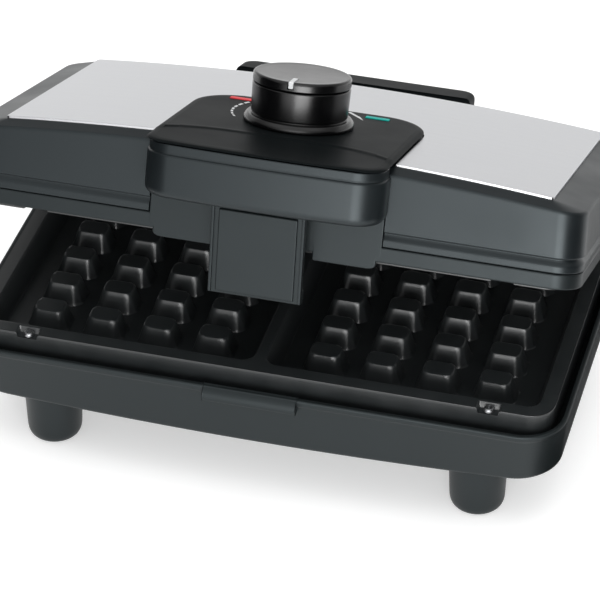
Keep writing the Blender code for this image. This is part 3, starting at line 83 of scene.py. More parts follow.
# Plates
PLATE_HALF = 131.4
PLATE_FRONT, PLATE_BACK = 7.4, 144.6
PLATE_CORNER = 11.0
PLATE_TOP_Z, PLATE_FOOT_Z = 63.0, 47.0
MATE_Z = 63.15
WELL_RIM, WELL_DIVIDER, WELL_DEPTH, WELL_DRAFT, WELL_CORNER = 6.6, 5.0, 12.0, 3.8, 6.0
PEG_COLUMNS, PEG_ROWS, PEG_HEIGHT, PEG_TAPER, PEG_CLIP = 4, 5, 9.2, 2.7, 3.3
PEG_MARGIN_X, PEG_MARGIN_Y, PEG_GAP_X, PEG_GAP_Y = 9.6, 8.8, 6.5, 5.7
NOTCH_HALF, NOTCH_DEPTH, NOTCH_DROP = 5.0, 5.0, 2.6
SCREW_X, SCREW_INSET = 103.9, 2.5
SCREW_SHANK, SCREW_LENGTH, SCREW_HEAD, SCREW_HEAD_TOP = 1.3, 19.5, 2.3, 1.95
CROSS_LONG, CROSS_SHORT, CROSS_FLOOR = 1.35, 0.3, 1.0
RELIEF_FINE, RELIEF_COARSE, RELIEF_REACH = 0.5, 1.3, 2.6

# Wells and pegs, worked out from the plate
WELL_FRONT, WELL_BACK = PLATE_FRONT + WELL_RIM, PLATE_BACK - WELL_RIM
WELL_HALF = (PLATE_HALF - WELL_RIM - WELL_DIVIDER / 2) / 2
WELL_MIDDLE = WELL_DIVIDER / 2 + WELL_HALF
PEG_FIELD_X = 2 * (WELL_HALF - WELL_DRAFT - PEG_MARGIN_X) + PEG_GAP_X
PEG_FIELD_Y = WELL_BACK - WELL_FRONT - 2 * (WELL_DRAFT + PEG_MARGIN_Y) + PEG_GAP_Y
PEG_PITCH_X, PEG_PITCH_Y = PEG_FIELD_X / PEG_COLUMNS, PEG_FIELD_Y / PEG_ROWS
PEG_HALF_X, PEG_HALF_Y = (PEG_PITCH_X - PEG_GAP_X) / 2, (PEG_PITCH_Y - PEG_GAP_Y) / 2
WELL_MIDDLE_Y, WELL_HALF_Y = (WELL_FRONT + WELL_BACK) / 2, (WELL_BACK - WELL_FRONT) / 2
SCREW_PLACES = {end + "_" + side: (x, y) for side, x in (("left", -SCREW_X), ("right", SCREW_X))
                for end, y in (("front", PLATE_FRONT + SCREW_INSET), ("rear", PLATE_BACK - SCREW_INSET))}

# Lid, closed
LID_FACE_Y, LID_CORNER = 3.0, 12.0
LID_RIM_Z, FRAME_TOP_Z, SHELL_FOOT_Z = 65.0, 71.9, 72.2
FACE_TOP_Z, CROWN_TOP_Z, CROWN_DROP = 104.8, 107.0, 6.9
CROWN_INSET_X, CROWN_INSET_Y = 15.0, 6.6
CROWN_LAP, CROWN_CORNER = 4.0, 2.0
PANEL_PROUD = 0.03
STEEL_HALF, STEEL_FRONT, STEEL_BACK, STEEL_TOP_Z = 121.2, 10.3, 143.3, 108.1
STEEL_CORNER, STEEL_LEAST_CORNER, STEEL_SEAM = 1.4, 0.15, 0.3

# Console, knob and latch
CONSOLE_HALF, CONSOLE_BOW = 52.5, 2.0
GRIP_FRONT, GRIP_BACK, GRIP_FOOT_Z, GRIP_TOP_Z = -17.5, 2.7, 83.2, 107.2
DECK_FRONT, DECK_BACK, DECK_FOOT_Z, DECK_TOP_Z = -16.6, 86.0, 107.5, 109.6
PANEL_HALF, PANEL_FOOT_Z, PANEL_TOP_Z = 51.7, 68.4, 88.0
EAR_INNER, EAR_OUTER, EAR_FOOT_Z = 21.6, 49.6, 61.5
DECK_FRONT_CORNER, DECK_BACK_CORNER, DECK_BEVEL = 9.0, 22.0, 3.4
DECK_CUT = (100.0, 115.0)
KNOB_Y, KNOB_BORE = 48.0, 3.6
KNOB_PROFILE = [(0.0, 110.2), (3.4, 110.2), (22.5, 110.2), (24.3, 109.95), (24.3, 111.5), (22.9, 113.2),
                (20.9, 113.3), (20.9, 113.8), (21.3, 114.2), (21.6, 126.8), (20.6, 127.2), (0.0, 127.2)]
CAP_PROFILE = [(0.0, 127.3), (21.0, 127.3), (21.6, 127.7), (21.6, 131.8), (18.0, 131.6), (0.0, 131.3)]
POINTER_HALF, SLOT_HALF = 1.1, 1.4
LENS_Y, LENS_X = 76.8, {"red": -33.4, "green": 29.0}
LENS_HALF_X, LENS_HALF_Y, LENS_FLANGE, WINDOW_GAP_X, WINDOW_GAP_Y = 5.4, 1.8, 0.9, 0.2, 0.15
SCALE_FROM, SCALE_TO, SCALE_DASHES, DASH_HALF_TURN = 142.0, 188.0, 7, 2.6
PRINT_SINK, PRINT_RISE = 0.02, 0.03
LATCH_HALF, LATCH_GAP, LATCH_PIVOT, BARREL_RADIUS, BAY_HALF = 20.5, 0.6, (-7.0, 90.0), 3.4, 6.5

# Hinge bar and rear of the base
BAR_HALF, BAR_FRONT, BAR_BACK, BAR_FOOT_Z, BAR_TOP_Z = 56.3, 151.3, 170.0, 75.0, 107.4
LUG_INNER_X, LUG_OUTER_X, LUG_ROOT_Y, LUG_ROOT_Z, ARM_INNER_X = 37.0, 48.5, 149.0, 31.5, 49.1
KNUCKLE = 7.2
GLAND_X, GLAND_Z = -88.0, 42.0


# ---- shape tools

def in_frame(points, lid):
    """Drawn millimetres to frame metres: a shift for the base, a turn about the hinge line for the lid."""
    x, y, z = np.asarray(points, float).T
    if lid:
        back, up = y - HINGE_Y, z - HINGE_Z
        y = HINGE_Y + back * math.cos(OPEN) + up * math.sin(OPEN)
        z = HINGE_Z - back * math.sin(OPEN) + up * math.cos(OPEN)
    return np.column_stack((x, y - ORIGIN_Y, z)) * MM


def soften(path, reaches, closed=False, steps=6):
    """Rounds a path's corners, each by a quadratic blend between the points a reach away on both its sides.

    A blend never takes more than 0.49 of a side, so two neighbours don't meet.
    """
    path = np.asarray(path, float)
    count = len(path)
    out = []
    for k in range(count):
        reach = reaches[k]
        if reach <= 0 or (not closed and k in (0, count - 1)):
            out.append(path[k:k + 1])
            continue
        here, before, after = path[k], path[k - 1], path[(k + 1) % count]
        ends = []
        for other in (before, after):
            length = np.linalg.norm(other - here)
            ends.append(here + (other - here) * min(reach / length, 0.49))
        t = np.linspace(0.0, 1.0, steps + 1)[:, None]
        out.append(ends[0] * (1 - t) ** 2 + 2 * here * t * (1 - t) + ends[1] * t ** 2)
    return np.vstack(out)


def outline(half, front, back, front_radius, back_radius, bow=0.0, columns=40, corner=12, rows=8):
    """Rounded rectangle seen from above, anticlockwise: even steps on its sides, quarter circles at corners.

    The front bulges by bow: y gains bow times the squared share of the half width, fading out to the back.
    """
    turn = np.linspace(0.0, math.pi / 2, corner + 1)[1:-1]
    sin, cos = np.sin(turn), np.cos(turn)
    near, far = half - front_radius, half - back_radius
    low, high = front + front_radius, back - back_radius
    right_y = low + (high - low) * np.linspace(0.0, 1.0, rows + 1)
    parts = [
        (np.linspace(-near, near, columns + 1), front),
        (near + front_radius * sin, low - front_radius * cos),
        (half, right_y),
        (far + back_radius * cos, high + back_radius * sin),
        (np.linspace(far, -far, columns + 1), back),
        (-far - back_radius * sin, high + back_radius * cos),
        (-half, right_y[::-1]),
        (-near - front_radius * cos, low - front_radius * sin),
    ]
    flat = np.vstack([np.column_stack(np.broadcast_arrays(*part)) for part in parts])
    if bow:
        fade = np.clip((high - flat[:, 1]) / (high - low), 0.0, 1.0)
        flat[:, 1] += bow * (flat[:, 0] / half) ** 2 * fade
    return flat


def lifted(flat, height, drop=0.0, half=HALF_WIDTH):
    """An outline at a height, falling towards its sides by drop times the squared share of a half width."""
    return np.column_stack((flat, height - drop * (flat[:, 0] / half) ** 2))


def spine(ring):
    """A ring pressed flat onto its middle line, which closes a surface that rises only along X."""
    pressed = ring.copy()
    pressed[:, 1] = (ring[:, 1].min() + ring[:, 1].max()) / 2
    return pressed


def skin(rings, closed=False):
    """Surface through rings of like count: quads join each ring to the next, round the loop."""
    rings = np.stack(rings)
    rows, count = rings.shape[:2]
    a = np.arange(rows if closed else rows - 1)[:, None]
    j = np.arange(count)[None, :]
    b, n = (a + 1) % rows, (j + 1) % count
    faces = np.stack((a * count + j, a * count + n, b * count + n, b * count + j), -1).reshape(-1, 4)
    return rings.reshape(-1, 3), faces.tolist()


def capped(rings):
    """Closed surface through rings, both of its ends pressed onto their middle lines."""
    return skin([spine(rings[0])] + list(rings) + [spine(rings[-1])])


def turned(profile, centre, steps=64, axis="z"):
    """Profile of radius and height turned round an axis through a centre; a radius of zero closes an end."""
    profile = np.asarray(profile, float)
    turn = np.linspace(0.0, 2 * math.pi, steps, endpoint=False)
    r, h = profile[:, :1], profile[:, 1:]
    a, b, c = r * np.cos(turn), r * np.sin(turn), h + 0 * turn
    order = {"z": (a, b, c), "y": (b, c, a), "x": (c, a, b)}[axis]
    points = np.stack(order, -1) + np.asarray(centre, float)
    return skin(list(points))


def rod(radius, low, high, centre, steps, axis="z"):
    """Plain round rod between two heights along an axis."""
    return turned([(0, low), (radius, low), (radius, high), (0, high)], centre, steps, axis)


def mitred(flat, inset):
    """A closed anticlockwise outline moved inwards: each corner along its two sides' mean normal."""
    ahead = np.roll(flat, -1, 0) - flat
    ahead /= np.linalg.norm(ahead, axis=1)[:, None]
    normal = np.column_stack((-ahead[:, 1], ahead[:, 0]))
    both = np.roll(normal, 1, 0)
    mitre = (normal + both) / (1 + (normal * both).sum(1))[:, None]
    return flat + mitre * inset


def slab(flat, low, high, axis, edge=0.4, steps=4):
    """Outline carried along an axis, both of its ends rounded by a quarter circle of radius edge."""
    turn = np.linspace(0.0, math.pi / 2, steps + 1)
    insets = edge * (1 - np.sin(turn))
    marks = edge * (1 - np.cos(turn))
    stops = [(i, low + m) for i, m in zip(insets, marks)]
    stops += [(i, high - m) for i, m in zip(insets[::-1], marks[::-1])]
    rings = []
    for inset, place in stops:
        a, b = mitred(flat, inset).T
        c = np.full(len(a), place)
        rings.append(np.column_stack({"x": (c, a, b), "y": (a, c, b), "z": (a, b, c)}[axis]))
    verts, faces = skin(rings)
    count = len(flat)
    faces += [list(range(count))[::-1], list(range(len(verts) - count, len(verts)))]
    return verts, faces


def around(a, b, wide, deep):
    """Lower and upper corner of a rectangle that reaches so far to each side of a centre."""
    return a - wide, b - deep, a + wide, b + deep


def box_outline(a0, b0, a1, b1, reach=0.0):
    """Rectangle between two corners, anticlockwise, its corners softened."""
    corners = [(a0, b0), (a1, b0), (a1, b1), (a0, b1)]
    return soften(corners, [reach] * 4, True, 4) if reach else np.array(corners, float)


def mirrored(surface):
    """A surface of the lower plate, mirrored in the plane midway between the closed plates."""
    verts, faces = surface
    return verts * (1, 1, -1) + (0, 0, 2 * MATE_Z), faces


def mesh_of(parts, lid=True):
    """One mesh from surfaces in drawn millimetres: doubles merged, empty edges gone, normals out."""
    bm = bmesh.new()
    for verts, faces in parts:
        points = in_frame(verts, lid)
        made = [bm.verts.new(p) for p in points.tolist()]
        for face in faces:
            loop = list(dict.fromkeys(made[k] for k in face))
            if len(loop) > 2:
                bm.faces.new(loop)
    bmesh.ops.remove_doubles(bm, verts=bm.verts[:], dist=MERGE)
    bmesh.ops.dissolve_degenerate(bm, edges=bm.edges[:], dist=NO_LENGTH)
    bmesh.ops.recalc_face_normals(bm, faces=bm.faces[:])
    mesh = bpy.data.meshes.new("shape")
    bm.to_mesh(mesh)
    bm.free()
    return mesh


def block(a0, b0, a1, b1, low, high, axis, reach=0.0):
    """Surface of a plain block to cut with: a rectangle between two corners, carried along an axis."""
    return slab(box_outline(a0, b0, a1, b1, reach), low, high, axis, BLOCK_EDGE, 1)


def joined(meshes):
    """One mesh that holds the shells of several."""
    bm = bmesh.new()
    for mesh in meshes:
        bm.from_mesh(mesh)
    result = bpy.data.meshes.new("shape")
    bm.to_mesh(result)
    bm.free()
    return result


def placed(name, data):
    """A new object in the scene."""
    ob = bpy.data.objects.new(name, data)
    bpy.context.scene.collection.objects.link(ob)
    return ob


def worked(mesh, cuts, fused=()):
    """A mesh after some meshes are cut out of it and then others fused on, in turn."""
    ob = placed("work", mesh)
    helpers = []
    for operation, tools in (("DIFFERENCE", cuts), ("UNION", fused)):
        for tool in tools:
            helpers.append(placed("tool", tool))
            step = ob.modifiers.new("work", "BOOLEAN")
            step.operation, step.solver, step.object = operation, "EXACT", helpers[-1]
    bpy.context.view_layer.update()
    result = bpy.data.meshes.new_from_object(ob.evaluated_get(bpy.context.evaluated_depsgraph_get()))
    for thing in helpers + [ob]:
        bpy.data.objects.remove(thing)
    bm = bmesh.new()
    bm.from_mesh(result)
    bmesh.ops.remove_doubles(bm, verts=bm.verts[:], dist=MERGE)
    bmesh.ops.dissolve_degenerate(bm, edges=bm.edges[:], dist=NO_LENGTH)
    bm.to_mesh(result)
    bm.free()
    result.validate()
    return result


def piece(name, mesh, body, finish, node):
    """A finished piece at the origin: smooth, its large faces ruling the normals, riding on its body."""
    mesh.name = name
    mesh.materials.clear()
    mesh.materials.append(finish)
    mesh.polygons.foreach_set("use_smooth", [True] * len(mesh.polygons))
    mesh.set_sharp_from_angle(angle=SHARP)
    ob = placed(name, mesh)
    even = ob.modifiers.new("even normals", "WEIGHTED_NORMAL")
    even.keep_sharp = True
    even.weight = 60
    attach(ob, body)
    if node:
        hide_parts(node)


# ---- finishes

def linear(code):
    """sRGB hex to linear values with an alpha of one."""
    values = [int(code[k:k + 2], 16) / 255 for k in (1, 3, 5)]
    return [v / 12.92 if v <= 0.04045 else ((v + 0.055) / 1.055) ** 2.4 for v in values] + [1.0]


def add_node(tree, kind, **values):
    """Adds a shader node. A lower-case key is a setting. A capital key, spaces as underscores, or a number
    (i0) is a socket, and takes a value or an output to link."""
    made = tree.nodes.new("ShaderNode" + kind)
    for key, value in values.items():
        numbered = key[0] == "i" and key[1:].isdigit()
        if key[0].islower() and not numbered:
            setattr(made, key, value)
            continue
        socket = made.inputs[int(key[1:]) if numbered else key.replace("_", " ")]
        if isinstance(value, bpy.types.NodeSocket):
            tree.links.new(value, socket)
        else:
            socket.default_value = value
    return made


def new_finish(name, colour, roughness, **sockets):
    """A Principled material and its shader, with Object coordinates ready in metres."""
    finish = bpy.data.materials.new(name)
    finish.use_nodes = True
    tree = finish.node_tree
    shader = tree.nodes["Principled BSDF"]
    shader.inputs["Base Color"].default_value = linear(colour)
    shader.inputs["Roughness"].default_value = roughness
    for key, value in sockets.items():
        shader.inputs[key.replace("_", " ")].default_value = value
    place = add_node(tree, "TexCoord").outputs["Object"]
    return finish, tree, shader, place


def wander(tree, shader, factor, dark, light, least, most):
    """Colour and roughness that follow a factor, each between two values."""
    shade = add_node(tree, "Mix", data_type="RGBA", i0=factor, i6=linear(dark), i7=linear(light))
    rough = add_node(tree, "MapRange", Value=factor, From_Min=0.3, From_Max=0.7,
                     To_Min=least, To_Max=most)
    tree.links.new(shade.outputs[2], shader.inputs["Base Color"])
    tree.links.new(rough.outputs["Result"], shader.inputs["Roughness"])


def mottled(name, colour, roughness, cells, specks=None, **sockets):
    """A finish whose colour and roughness wander over cells, with a fine relief where specks are given.

    Cells are (size, dark, light, least and most roughness). Specks are (size, depth, strength, detail of the
    noise). Sizes and depths are in metres.
    """
    finish, tree, shader, place = new_finish(name, colour, roughness, **sockets)
    cloud = add_node(tree, "TexNoise", Vector=place, Scale=1 / cells[0], Detail=3.0, Roughness=0.55)
    wander(tree, shader, cloud.outputs["Fac"], *cells[1:])
    if specks:
        size, depth, strength, detail = specks
        speck = add_node(tree, "TexNoise", Vector=place, Scale=1 / size, Detail=detail, Roughness=0.6)
        bump = add_node(tree, "Bump", Height=speck.outputs["Fac"], Strength=strength, Distance=depth)
        tree.links.new(bump.outputs["Normal"], shader.inputs["Normal"])
    return finish


def plain(name, colour, low, high, size, depth=0.00001, **sockets):
    """A small part's finish: colour down to nine tenths, roughness between two values, a faint grain."""
    shade = "#%02x%02x%02x" % tuple(int(int(colour[k:k + 2], 16) * 0.9) for k in (1, 3, 5))
    return mottled(name, colour, (low + high) / 2, (size, shade, colour, low, high),
                   (size / 12, depth, 1.0, 2.0), **sockets)


def brushed_steel():
    """Stainless sheet brushed from side to side: hairlines along X break the mirror into a pale silk."""
    finish, tree, shader, place = new_finish("brushed stainless steel", "#cfd0d2", 0.34, Metallic=1.0)
    # Hairlines are about 0.05 mm apart on real sheet, drawn 0.35 mm apart so that they show
    hair_pitch, band_pitch, along = 0.00035, 0.004, 0.004
    lines = add_node(tree, "Mapping", Vector=place, Scale=(along, 1.0, 1.0)).outputs["Vector"]
    hair = add_node(tree, "TexNoise", Vector=lines, Scale=1 / hair_pitch, Detail=4.0, Roughness=0.7)
    broad = add_node(tree, "TexNoise", Vector=lines, Scale=1 / band_pitch, Detail=2.0)
    part = add_node(tree, "Math", operation="MULTIPLY", i0=broad.outputs["Fac"], i1=0.3)
    both = add_node(tree, "Math", operation="MULTIPLY_ADD", i0=hair.outputs["Fac"], i1=0.7,
                    i2=part.outputs[0])
    wander(tree, shader, both.outputs[0], "#babbbd", "#dcdde0", 0.27, 0.38)
    bump = add_node(tree, "Bump", Height=hair.outputs["Fac"], Strength=0.22, Distance=0.00002)
    tree.links.new(bump.outputs["Normal"], shader.inputs["Normal"])
    return finish


def lens_plastic(name, colour, painted_glow):
    """Tinted acrylic lens, ribbed along X, with a faint painted glow so that it reads as its own colour."""
    finish, tree, shader, place = new_finish(name, colour, 0.3, IOR=1.49, Specular_IOR_Level=0.03,
                                             Emission_Color=linear(painted_glow), Emission_Strength=0.3)
    ribs = add_node(tree, "TexWave", bands_direction="X", Vector=place, Scale=1 / 0.0032)
    bump = add_node(tree, "Bump", Height=ribs.outputs["Fac"], Strength=0.2, Distance=0.00005)
    tree.links.new(bump.outputs["Normal"], shader.inputs["Normal"])
    return finish


# Injection-moulded ABS with a spark-eroded skin: black with a soft sheen, and the lid's graphite, a shade
# lighter and silkier
COOL = linear("#e4f0f4")
BLACK = mottled("moulded black abs", "#121617", 0.42, (0.020, "#101415", "#15191a", 0.38, 0.46),
                (0.0006, 0.00002, 0.5, 2.0), IOR=1.52, Specular_IOR_Level=0.38, Specular_Tint=COOL)
GRAPHITE = mottled("moulded graphite abs", "#14181a", 0.36, (0.025, "#101416", "#15191b", 0.36, 0.44),
                   (0.0006, 0.000018, 0.5, 2.0), IOR=1.54, Specular_IOR_Level=0.42, Specular_Tint=COOL)

# Black ABS from a polished tool, for deck and hinge bar: its weak sheen mirrors the knob as a dark blur
SATIN = mottled("satin black abs", "#0f1213", 0.46, (0.030, "#0e1112", "#121516", 0.40, 0.46),
                (0.0005, 0.00001, 0.35, 2.0), IOR=1.5, Specular_IOR_Level=0.03,
                Specular_Tint=linear("#d8e8ee"))

# Gloss-moulded black ABS of the knob: near mirror, with dark flanks and one soft upright highlight
GLOSS = mottled("gloss black abs", "#050506", 0.24, (0.015, "#040405", "#070708", 0.22, 0.27), IOR=1.54)
STEEL = brushed_steel()

# Die-cast aluminium under sprayed non-stick coating: near black, an orange-peel sheen and fine flecks
COATED = mottled("non-stick coated aluminium", "#1d2021", 0.34, (0.012, "#1a1d1e", "#232627", 0.31, 0.41),
                 (0.0012, 0.00005, 0.5, 4.0), IOR=1.5, Specular_IOR_Level=0.75)
# Red and green lenses, each with a faint painted glow in its own colour
RED = lens_plastic("red acrylic lens", "#b8343a", "#c43638")
GREEN = lens_plastic("green acrylic lens", "#048f86", "#048e86")
PRINT = plain("white pad print", "#d9dbdc", 0.45, 0.55, 0.004)
ZINC = plain("zinc-plated screw steel", "#a9abad", 0.28, 0.42, 0.003, Metallic=1.0)
PIN_STEEL = plain("drawn stainless wire", "#b8babc", 0.22, 0.34, 0.003, Metallic=1.0)
RUBBER = plain("moulded nitrile rubber", "#121314", 0.65, 0.8, 0.004, 0.00004)
TRAY = plain("aluminised sheet", "#b9bbbc", 0.3, 0.45, 0.02, Metallic=1.0)
SHEATH = plain("oxidised heater sheath", "#6b6660", 0.4, 0.6, 0.01, Metallic=1.0)
CERAMIC = plain("glazed steatite ceramic", "#d8d2c4", 0.3, 0.4, 0.008)
LAMINATE = plain("phenolic laminate board", "#8a6a3c", 0.45, 0.6, 0.01)
SLEEVE = plain("silicone-glass sleeve", "#c9c4b8", 0.6, 0.75, 0.004, 0.00004)
LAMP_RED = plain("neon lamp, red cap", "#b4322e", 0.2, 0.3, 0.004)
LAMP_GREEN = plain("neon lamp, green cap", "#0d7a66", 0.2, 0.3, 0.004)


# ---- base

def make_tub():
    """Tub: one wall profile (inset, height) carried round an outline whose draft and bow fade upwards.

    Vents are cut through the floor; the hinge lugs, the catch and the plate's bosses are fused on.
    """
    profile = soften(
        [(TUB_FLOOR_INSET, TUB_FOOT_Z), (0.5, TUB_FOOT_Z), (0.5, 52.4), (0.0, 52.9), (0.0, TUB_RIM_Z),
         (WALL, TUB_RIM_Z), (WALL, TUB_FLOOR_Z), (TUB_FLOOR_INSET, TUB_FLOOR_Z)],
        [0, 2.2, 0.8, 0.5, 1.4, 0.4, 2.0, 0])
    rings = []
    for inset, height in profile:
        share = 1 - (height - TUB_FOOT_Z) / (TUB_RIM_Z - TUB_FOOT_Z)
        draft = TUB_DRAFT * share
        flat = outline(HALF_WIDTH - draft - inset, BODY_FRONT + inset, BODY_BACK - draft - inset,
                       TUB_CORNER - inset, TUB_REAR_CORNER - inset, TUB_BOW * share)
        rings.append(lifted(flat, height))
    tub = mesh_of([capped(rings)], False)
    slots = [block(*around(x, y, VENT_HALF_X, VENT_HALF_Y), TUB_FOOT_Z - 2, TUB_FLOOR_Z + 2.3, "z",
                   VENT_ROUND)
             for x in (-VENT_X, VENT_X) for y in (BODY_FRONT + BODY_BACK) / 2 + VENT_PITCH * np.arange(-2, 3)]
    low, high = HINGE_Z - KNUCKLE, HINGE_Z + KNUCKLE
    lug = [(LUG_ROOT_Y, LUG_ROOT_Z), (HINGE_Y, low), (HINGE_Y + KNUCKLE, low), (HINGE_Y + KNUCKLE, high),
           (LUG_ROOT_Y, high)]
    lug = soften(lug, [0, 3, 7.0, 7.0, 0.0], True, 8)
    lugs = [slab(lug, *sorted((side * LUG_INNER_X, side * LUG_OUTER_X)), "x", 0.8) for side in (-1, 1)]
    ramp = soften(CATCH_PROFILE, [0, 0, 0, 0.5, 0.6, 1.0, 1.2, 0.3], True, 4)
    lugs.append(slab(ramp, -CATCH_HALF, CATCH_HALF, "x", 0.5))
    bosses = [rod(BOSS_RADIUS, BOSS_FOOT_Z, BOSS_TOP_Z, (x, y, 0), 28) for x, y in SCREW_PLACES.values()]
    fused = [mesh_of(lugs, False), mesh_of(bosses, False)]
    tub = worked(tub, [mesh_of(slots, False)], fused)
    piece("base_tub", tub, "base", BLACK, "base_housing")


def make_feet():
    """Feet and their pads: a tapered profile turned round, its foot well rounded."""
    post = soften(FOOT_PROFILE, [0, 0, 0.4, 5.2, 0.3, 0], steps=9)
    disc = [(0.0, 0.0), (PAD_RADIUS, 0.0), (PAD_RADIUS, PAD_TOP_Z), (0.0, PAD_TOP_Z)]
    disc = soften(disc, [0, 0.5, 0.3, 0], steps=4)
    for label, (x, y) in FOOT_PLACES.items():
        foot = mesh_of([turned(post, (x, y, 0.0), 72)], False)
        piece("tapered_foot_" + label, foot, "base", BLACK, "foot_" + label)
        pad = mesh_of([turned(disc, (x, y, 0.0), 48)], False)
        piece("rubber_pad_" + label, pad, "base", RUBBER, "foot_pad_" + label)


def steps_between(marks):
    """Sample places along one side: fine steps within reach of each mark, coarse steps elsewhere."""
    out = [min(marks)]
    marks = np.unique(np.round(marks, 4))
    while out[-1] < marks[-1] - 1e-6:
        near = np.abs(marks - (out[-1] + RELIEF_FINE)).min() < RELIEF_REACH
        out.append(min(out[-1] + (RELIEF_FINE if near else RELIEF_COARSE), marks[-1]))
    return np.array(out)


def smooth_least(a, b, blend):
    """Lesser of two fields, with a round of a given size where they meet."""
    share = np.clip(0.5 + 0.5 * (b - a) / blend, 0.0, 1.0)
    return b * (1 - share) + a * share - blend * share * (1 - share)


def plate_relief(x, y):
    """Height over the plate: the rim, drafted wells, tapered pegs with clipped corners, and screw notches.

    A well is the signed distance to a rounded rectangle times its slope, held at the floor; a peg is the same
    with its four corners clipped at 45 degrees, held at its height.
    """
    floor = PLATE_TOP_Z - WELL_DEPTH
    sx, sy = np.abs(x) - WELL_MIDDLE, y - WELL_MIDDLE_Y
    qx, qy = np.abs(sx) - (WELL_HALF - WELL_CORNER), np.abs(sy) - (WELL_HALF_Y - WELL_CORNER)
    beyond = np.hypot(np.maximum(qx, 0), np.maximum(qy, 0))
    inside = beyond + np.minimum(np.maximum(qx, qy), 0) - WELL_CORNER
    wall = PLATE_TOP_Z + inside * (WELL_DEPTH / WELL_DRAFT)
    well = -smooth_least(-wall, -floor, 1.6)
    in_field = (np.abs(sx) < PEG_FIELD_X / 2) & (np.abs(sy) < PEG_FIELD_Y / 2)
    px = np.abs((sx + PEG_FIELD_X / 2) % PEG_PITCH_X - PEG_PITCH_X / 2)
    py = np.abs((sy + PEG_FIELD_Y / 2) % PEG_PITCH_Y - PEG_PITCH_Y / 2)
    out = -smooth_least(-(px - PEG_HALF_X), -(py - PEG_HALF_Y), 0.8)
    out = -smooth_least(-out, -((px + py - (PEG_HALF_X + PEG_HALF_Y - PEG_CLIP)) * 0.7071), 0.8)
    peg = smooth_least(floor - out * PEG_HEIGHT / PEG_TAPER, floor + PEG_HEIGHT, 1.4)
    peg = np.where(in_field, peg, floor - 5.0)
    well = -smooth_least(-well, -peg, 1.2)
    top = smooth_least(PLATE_TOP_Z, well, 0.9)
    notch_x = np.abs(np.abs(x) - SCREW_X) - NOTCH_HALF
    notch_y = np.minimum(y - PLATE_FRONT, PLATE_BACK - y) - NOTCH_DEPTH
    cut = PLATE_TOP_Z + np.clip(np.maximum(notch_x, notch_y) * 4.0, -NOTCH_DROP, 0.0)
    return np.minimum(top, cut)


def make_plate(prefix, body):
    """Baking plate: the relief on a grid whose columns shorten round the corners, then a stepped skirt."""
    well_edge, peg_edge = 1.9, 1.3
    marks_x = [0.0, PLATE_HALF, WELL_MIDDLE - WELL_HALF + well_edge, WELL_MIDDLE + WELL_HALF - well_edge,
               SCREW_X - NOTCH_HALF, SCREW_X + NOTCH_HALF]
    marks_x += [WELL_MIDDLE + (k - (PEG_COLUMNS - 1) / 2) * PEG_PITCH_X + s * (PEG_HALF_X - peg_edge)
                for k in range(PEG_COLUMNS) for s in (-1, 1)]
    marks_y = [PLATE_FRONT, PLATE_BACK, WELL_FRONT + well_edge, WELL_BACK - well_edge,
               PLATE_FRONT + NOTCH_DEPTH, PLATE_BACK - NOTCH_DEPTH]
    marks_y += [WELL_MIDDLE_Y + (k - (PEG_ROWS - 1) / 2) * PEG_PITCH_Y + s * (PEG_HALF_Y - peg_edge)
                for k in range(PEG_ROWS) for s in (-1, 1)]
    xs = steps_between(marks_x)
    xs = np.concatenate((-xs[:0:-1], xs))
    ys = steps_between(marks_y)
    share = (ys - PLATE_FRONT) / (PLATE_BACK - PLATE_FRONT)
    over = np.clip(np.abs(xs) - (PLATE_HALF - PLATE_CORNER), 0.0, PLATE_CORNER)
    cut_in = PLATE_CORNER - np.sqrt(PLATE_CORNER ** 2 - over ** 2)
    x = np.repeat(xs[:, None], len(ys), 1)
    y = (PLATE_FRONT + cut_in)[:, None] + (PLATE_BACK - PLATE_FRONT - 2 * cut_in)[:, None] * share[None, :]
    top = np.column_stack((x.ravel(), y.ravel(), plate_relief(x, y).ravel()))
    grid = np.arange(x.size).reshape(x.shape)
    quads = np.stack((grid[:-1, :-1], grid[1:, :-1], grid[1:, 1:], grid[:-1, 1:]), -1)
    faces = quads.reshape(-1, 4).tolist()
    border = np.concatenate((grid[:, 0], grid[-1, 1:], grid[-2::-1, -1], grid[0, -2:0:-1]))
    edge = top[border]
    ahead = np.roll(edge, -1, 0)[:, :2] - np.roll(edge, 1, 0)[:, :2]
    ahead /= np.linalg.norm(ahead, axis=1)[:, None]
    outward = np.column_stack((ahead[:, 1], -ahead[:, 0]))
    lip, lip_foot_z, skirt_in = 0.5, 61.3, -0.3
    skirt = soften([(0.0, PLATE_TOP_Z), (lip, PLATE_TOP_Z), (lip, lip_foot_z), (skirt_in, lip_foot_z - 0.2),
                    (skirt_in, PLATE_FOOT_Z)], [0, 0.45, 0.3, 0.3, 0], steps=4)[1:]
    verts = [top]
    for out, height in skirt:
        level = np.minimum(height, edge[:, 2] - (PLATE_TOP_Z - height) * 0.02)
        verts.append(np.column_stack((edge[:, :2] + outward * (out - lip), level)))
    count = len(border)
    base = [border] + [x.size + k * count + np.arange(count) for k in range(len(skirt))]
    for upper, lower in zip(base, base[1:]):
        faces += np.stack((upper, lower, np.roll(lower, -1), np.roll(upper, -1)), -1).tolist()
    faces.append(base[-1][::-1].tolist())
    plate = np.vstack(verts), faces
    mesh = mesh_of([mirrored(plate)]) if body == "lid" else mesh_of([plate], False)
    piece(prefix + "_baking_plate", mesh, body, COATED, prefix + "_plate")


